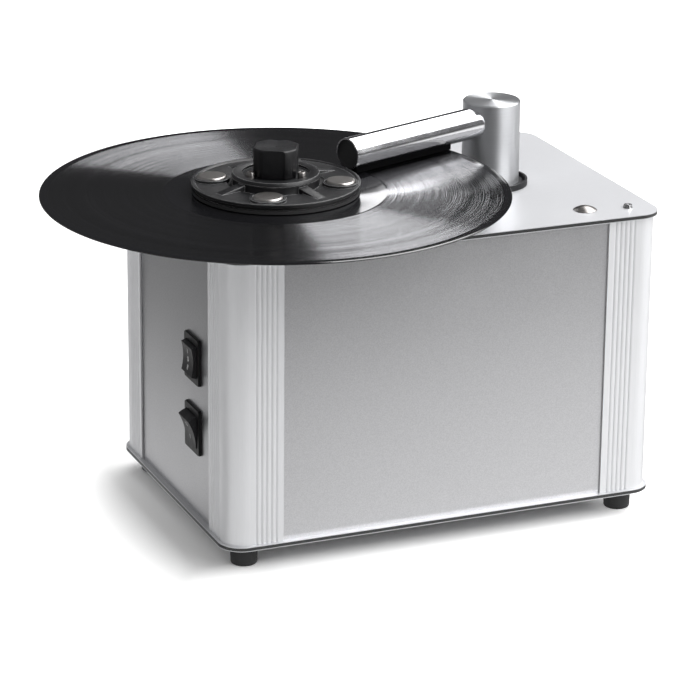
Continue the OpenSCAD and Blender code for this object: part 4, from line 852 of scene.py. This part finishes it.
def clamp_disc():
    """The disc's lip, web and moat, and the hub with the recess that the knob stands in."""
    return turn("clamp", clamp_base, [
        (BORE_R, CLAMP_FOOT), (CLAMP_R - 2, CLAMP_FOOT), (CLAMP_R - 2, LIP_LOW), (CLAMP_R - 0.6, LIP_LOW),
        (CLAMP_R - 0.2, LIP_LOW + 0.15), (CLAMP_R, LIP_LOW + 0.55), (CLAMP_R, LIP_TOP - 0.5),
        (CLAMP_R - 0.2, LIP_TOP - 0.15), (CLAMP_R - 0.6, LIP_TOP), (CLAMP_R - 1.7, LIP_TOP),
        (CLAMP_R - 2, LIP_TOP - 0.1), (CLAMP_R - 2.8, WEB_TOP), (MOAT_R + 0.4, WEB_TOP),
        (MOAT_R, WEB_TOP - 0.1), (MOAT_R, MOAT_FLOOR), (HUB_R + 0.1, MOAT_FLOOR),
        (HUB_R - 0.1, MOAT_FLOOR + 0.4), (HUB_R + 0.1, HUB_LIP), (HUB_R + 0.6, HUB_LIP + 0.5),
        (HUB_R + 0.5, HUB_LIP + 0.9), (HUB_R - 0.1, HUB_TOP - 0.3), (HUB_R - 0.4, HUB_TOP),
        (RECESS_R + 0.3, HUB_TOP), (RECESS_R, HUB_TOP - 0.2), (RECESS_R, RECESS_FLOOR),
        (BORE_R, RECESS_FLOOR), (BORE_R, CLAMP_FOOT)], segments=256, bored=True)


def four(piece):
    """The piece and three copies, a quarter turn apart about the spindle."""
    return [piece] + swing_copies(piece, clamp_base, 4, QUARTER)


def three(piece):
    """The piece and two copies, a third of a turn apart about the spindle."""
    return [piece] + swing_copies(piece, clamp_base, 3, math.tau / 3)


def clamp_boss():
    """The collar round a cap's pocket."""
    return turn("boss", at_clamp(CAP_CIRCLE_R, CAP_ANGLE), [
        (BOSS_R, MOAT_FLOOR), (BOSS_R, BOSS_TOP - 0.5), (BOSS_R - 0.2, BOSS_TOP - 0.1),
        (BOSS_R - 0.5, BOSS_TOP), (POCKET_R + 0.2, BOSS_TOP), (POCKET_R, BOSS_TOP - 0.2),
        (POCKET_R, POCKET_FLOOR)], segments=96)


def clamp_rib():
    """A rib from the hub's side down to the web, half way between two caps."""
    x, y = spindle_at.x, spindle_at.y
    rib = block("rib", (x + RIB_IN * MM, y - RIB_W / 2 * MM, record_top + RIB_LOW * MM),
                (x + RIB_OUT * MM, y + RIB_W / 2 * MM, record_top + RIB_TOP * MM))
    put_down(rib)
    bpy.ops.object.mode_set(mode="EDIT")
    bpy.ops.mesh.select_mode(type="VERT")
    bpy.ops.mesh.select_all(action="DESELECT")
    bpy.ops.object.mode_set(mode="OBJECT")
    middle = x + (RIB_IN + RIB_OUT) / 2 * MM
    half_way_up = record_top + (RIB_LOW + RIB_TOP) / 2 * MM
    for corner in rib.data.vertices:
        corner.select = corner.co.x > middle and corner.co.z > half_way_up
    bpy.ops.object.mode_set(mode="EDIT")
    bpy.ops.transform.translate(value=(0, 0, -RIB_FALL * MM))
    bpy.ops.object.mode_set(mode="OBJECT")
    soften(rib, 0.6 * MM, 2)
    return swing(rib, clamp_base, CAP_ANGLE + QUARTER / 2)


clamp = clamp_disc()
bosses = four(clamp_boss())
ribs = four(clamp_rib())
cut_or_join(clamp, bosses + ribs, "UNION")
pockets = four(turn("pocket", at_clamp(CAP_CIRCLE_R, CAP_ANGLE),
                    [(POCKET_R, POCKET_FLOOR), (POCKET_R, CUTTER_TOP)], segments=96))
post_holes = three(turn("post_hole", at_clamp(POST_CIRCLE_R, POST_ANGLE),
                        [(POST_HOLE_R, POST_HOLE_FLOOR), (POST_HOLE_R, CUTTER_TOP)], segments=32))
cut_or_join(clamp, pockets + post_holes, "DIFFERENCE")
close_up(clamp)
fit(clamp, "clamp", "clamp", "clamp_plastic", "clamp_disc")

cap = turn("caps", at_clamp(CAP_CIRCLE_R, CAP_ANGLE), [
    (CAP_R - 0.3, POCKET_FLOOR), (CAP_R, POCKET_FLOOR + 0.15), (CAP_R, CAP_TOP - 1.2),
    (CAP_R - 0.1, CAP_TOP - 0.8), (CAP_R - 0.4, CAP_TOP - 0.4), (CAP_R - 0.8, CAP_TOP - 0.12),
    (CAP_R - 1.2, CAP_TOP), (NEAR_AXIS, CAP_TOP)], segments=96)
caps = four(cap)
join(cap, caps[1:])
close_up(cap, 14)
fit(cap, "chrome", "clamp", "chrome", "clamp_caps")

post = turn("clamp_posts", at_clamp(POST_CIRCLE_R, POST_ANGLE), [
    (SHANK_R - 0.05, SHANK_FOOT), (SHANK_R, SHANK_FOOT + 0.2), (SHANK_R, RECESS_FLOOR),
    (POST_R - 0.1, RECESS_FLOOR), (POST_R, RECESS_FLOOR + 0.1), (POST_R, POST_TOP - 0.5),
    (POST_R - 0.15, POST_TOP - 0.15), (POST_R - 0.5, POST_TOP), (DRIVE_R + 0.1, POST_TOP),
    (DRIVE_R, POST_TOP - 0.1), (DRIVE_R, POST_TOP - 1.8)], segments=48)
posts = three(post)
join(post, posts[1:])
close_up(post)
fit(post, "chrome", "clamp", "chrome", "clamp_screws")

# Knob
knob = turn("knob", clamp_base, [
    (NUT_R, KNOB_LOW), (KNOB_R - 0.4, KNOB_LOW), (KNOB_R, KNOB_LOW + 0.3), (KNOB_R, KNOB_TOP - 1.05),
    (KNOB_R - 0.2, KNOB_TOP - 0.45), (KNOB_R - 0.9, KNOB_TOP), (KNOB_R - 1.5, KNOB_TOP),
    (NEAR_AXIS, KNOB_TOP - 0.8), (NEAR_AXIS, NUT_TOP), (NUT_R, NUT_TOP), (NUT_R, KNOB_LOW)],
    segments=192, bored=True)
hollow = turn("hollow", at_clamp(HOLLOW_DEEP_R + HOLLOW_R, CAP_ANGLE),
              [(HOLLOW_R, HOLLOW_LOW), (HOLLOW_R, HOLLOW_TOP)], segments=256)
cut_or_join(knob, four(hollow), "DIFFERENCE")
close_up(knob)
soften(knob, 0.35 * MM, 3)
close_up(knob)
fit(knob, "knob", "knob", "knob_plastic", "clamp_knob")

# Marks on the rockers, in mm. A rocker's face is hollow, and its middle is FACE_DEPTH out from the pivot.
FACE_R = 37.59
FACE_DEPTH = 4.05
PIVOT_IN = 2
PRINT_SINK = 0.02
PRINT_HALF_T = 0.08
BAR_HALF_W = 0.22
BAR_HALF_H = 1.6
RING_IN_R = 0.75
RING_OUT_R = 1.15
RING_STRETCH = 1.5


def printed_ring(name):
    """A flat ring about the origin."""
    return turn(name, (0, 0, 0), [
        (RING_IN_R, -PRINT_HALF_T), (RING_OUT_R, -PRINT_HALF_T), (RING_OUT_R, PRINT_HALF_T),
        (RING_IN_R, PRINT_HALF_T), (RING_IN_R, -PRINT_HALF_T)], segments=48, bored=True)


def printed_bar(name):
    """An upright bar at the origin."""
    corner = Vector((PRINT_HALF_T, BAR_HALF_W, BAR_HALF_H)) * MM
    return block(name, -corner, corner, 0.05 * MM)


def mark(name, switch_node, body, tilt, marks):
    """Bars and rings of print on a rocker's face. A mark is (height, across, kind), in mm from the pivot."""
    low, high = (Vector(p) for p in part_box(switch_node))
    pivot = Vector((low.x + PIVOT_IN * MM, (low.y + high.y) / 2, (low.z + high.z) / 2))
    made = []
    for height, across, kind in marks:
        lean = math.asin(height / FACE_R) + tilt
        out = FACE_DEPTH + FACE_R - math.sqrt(FACE_R ** 2 - height ** 2) - PRINT_SINK
        if kind == "ring":
            piece = printed_ring(name)
            piece.scale = (RING_STRETCH, 1.0, 1.0)
            piece.rotation_euler = (0, QUARTER - lean, 0)
        else:
            piece = printed_bar(name)
            piece.rotation_euler = (0, -lean, 0)
        piece.location = (pivot.x - (out * math.cos(tilt) + height * math.sin(tilt)) * MM,
                          pivot.y + across * MM,
                          pivot.z + (height * math.cos(tilt) - out * math.sin(tilt)) * MM)
        made.append(close_up(piece))
    join(made[0], made[1:])
    return fit(made[0], "mark", body, "rocker_plastic")


mark("motor_marks", "motor_switch", "motor_key", 0.0, [
    (5.6, 0, "bar"), (0, 0, "ring"), (-5.6, -0.6, "bar"), (-5.6, 0.6, "bar")])
mark("vacuum_marks", "vacuum_switch", "vacuum_key", math.radians(15), [(4.6, 0, "ring"), (-4.6, 0, "bar")])

# Floor, in metres. Gloss sees it fall off before the cabinet, faster from FLOOR_FAR on.
FLOOR_SIZE = 16
FLOOR_SEEN = 1.05
FLOOR_WARM = 0.997
FLOOR_NEAR = 0.90
FLOOR_FALL = 0.50
FLOOR_FAR = 0.34
FLOOR_FAR_FALL = 2.6
FLOOR_LEVEL_X = 0.20
FLOOR_ACROSS = 0.55
FLOOR_MOST = 1.05
FLOOR_LEAST = 0.08
FLOOR_TURN = 30.0
FLOOR_AGAIN = 0.8
# Gloss sees a brighter strip of it along the cabinet's left side
STRIP_W = 0.16
STRIP_START = 0.02
STRIP_RISE = 7.0
STRIP_LEVEL = 0.42
SIDE_LEVEL = 0.16
# The camera sees it glow: from here out of the bottom plate's left edge, and in from its right and front ones
GLOW_LEFT = 0.012
GLOW_RIGHT = 0.04
GLOW_FRONT = 0.02
GLOW_RISE = 20.0
GLOW_LEVEL = 0.8


def mirrored_floor(tree, x, y):
    """How bright gloss sees the floor at a place."""
    ahead = minus(tree, bottom_low.y, y)
    before = minus(tree, FLOOR_NEAR, times(tree, ahead, FLOOR_FALL))
    farther = at_least(tree, minus(tree, ahead, FLOOR_FAR), 0.0)
    before = minus(tree, before, times(tree, farther, FLOOR_FAR_FALL))
    before = plus(tree, before, times(tree, minus(tree, x, FLOOR_LEVEL_X), FLOOR_ACROSS))
    before = at_least(tree, math_node(tree, "MINIMUM", before, FLOOR_MOST), FLOOR_LEAST)

    back = times(tree, ahead, -1.0)
    aside = minus(tree, bottom_low.x, x)
    in_strip = times(tree, minus(tree, STRIP_W, aside), SOFT, clamp=True)
    along = times(tree, minus(tree, back, STRIP_START), STRIP_RISE, clamp=True)
    beside = plus(tree, times(tree, times(tree, in_strip, along), STRIP_LEVEL), SIDE_LEVEL)
    choice = tree.nodes.new("ShaderNodeMix")
    tree.links.new(times(tree, back, FLOOR_TURN, clamp=True), choice.inputs["Factor"])
    tree.links.new(before, choice.inputs["A"])
    tree.links.new(beside, choice.inputs["B"])
    return choice.outputs["Result"]


def floor_glow(tree, x, y):
    """How much the floor glows for the camera at a place."""
    left = at_least(tree, minus(tree, bottom_low.x - GLOW_LEFT, x), 0.0)
    right = at_least(tree, minus(tree, x, bottom_high.x - GLOW_RIGHT), 0.0)
    front = at_least(tree, minus(tree, bottom_low.y + GLOW_FRONT, y), 0.0)
    gap = at_least(tree, plus(tree, left, right), front)
    return times(tree, times(tree, gap, GLOW_RISE, clamp=True), GLOW_LEVEL)


def glowing(tree, strength):
    """A shader that glows white as strongly as the given value."""
    light = tree.nodes.new("ShaderNodeEmission")
    tree.links.new(strength, light.inputs["Strength"])
    return light.outputs[0]


def floor_surface():
    """A pale floor. The camera, gloss and scattered light each see it in their own way."""
    material = surface("pale floor", (0.86, 0.86, 0.86), 0.8, grain=30.0, contrast=0.01, relief=0.0,
                       specular_ior_level=0.0)
    tree = material.node_tree
    path = tree.nodes.new("ShaderNodeLightPath")
    coords = tree.nodes.new("ShaderNodeTexCoord")
    x, y, _ = parts_of(tree, coords.outputs["Object"])
    again = times(tree, math_node(tree, "GREATER_THAN", path.outputs["Ray Depth"], 1.5), FLOOR_AGAIN)
    mirrored = glowing(tree, times(tree, minus(tree, 1.0, again), mirrored_floor(tree, x, y)))
    matt = tree.nodes.new("ShaderNodeBsdfDiffuse")
    matt.inputs["Color"].default_value = (FLOOR_SEEN, FLOOR_SEEN, FLOOR_SEEN * FLOOR_WARM, 1)
    seen = add_shaders(tree, matt.outputs[0], glowing(tree, floor_glow(tree, x, y)))
    plain = tree.nodes["Principled BSDF"].outputs[0]
    look = instead_for(tree, path.outputs["Is Camera Ray"], plain, seen)
    look = instead_for(tree, path.outputs["Is Glossy Ray"], look, mirrored)
    tree.links.new(look, tree.nodes["Material Output"].inputs["Surface"])
    return material


put_down()
bpy.ops.mesh.primitive_plane_add(size=FLOOR_SIZE, location=(0, 0, 0))
floor = bpy.context.object
floor.name = "studio_floor"
floor.data.materials.append(floor_surface())

softbox("front_right_softbox", azimuth=-50, elevation=29, distance=1.7, size=(1.25, 1.15), radiance=2.1)
softbox("ceiling_softbox", azimuth=40, elevation=68, distance=2.2, size=(2.2, 2.2), radiance=1.6,
        seen_by="shade")
studio_air()
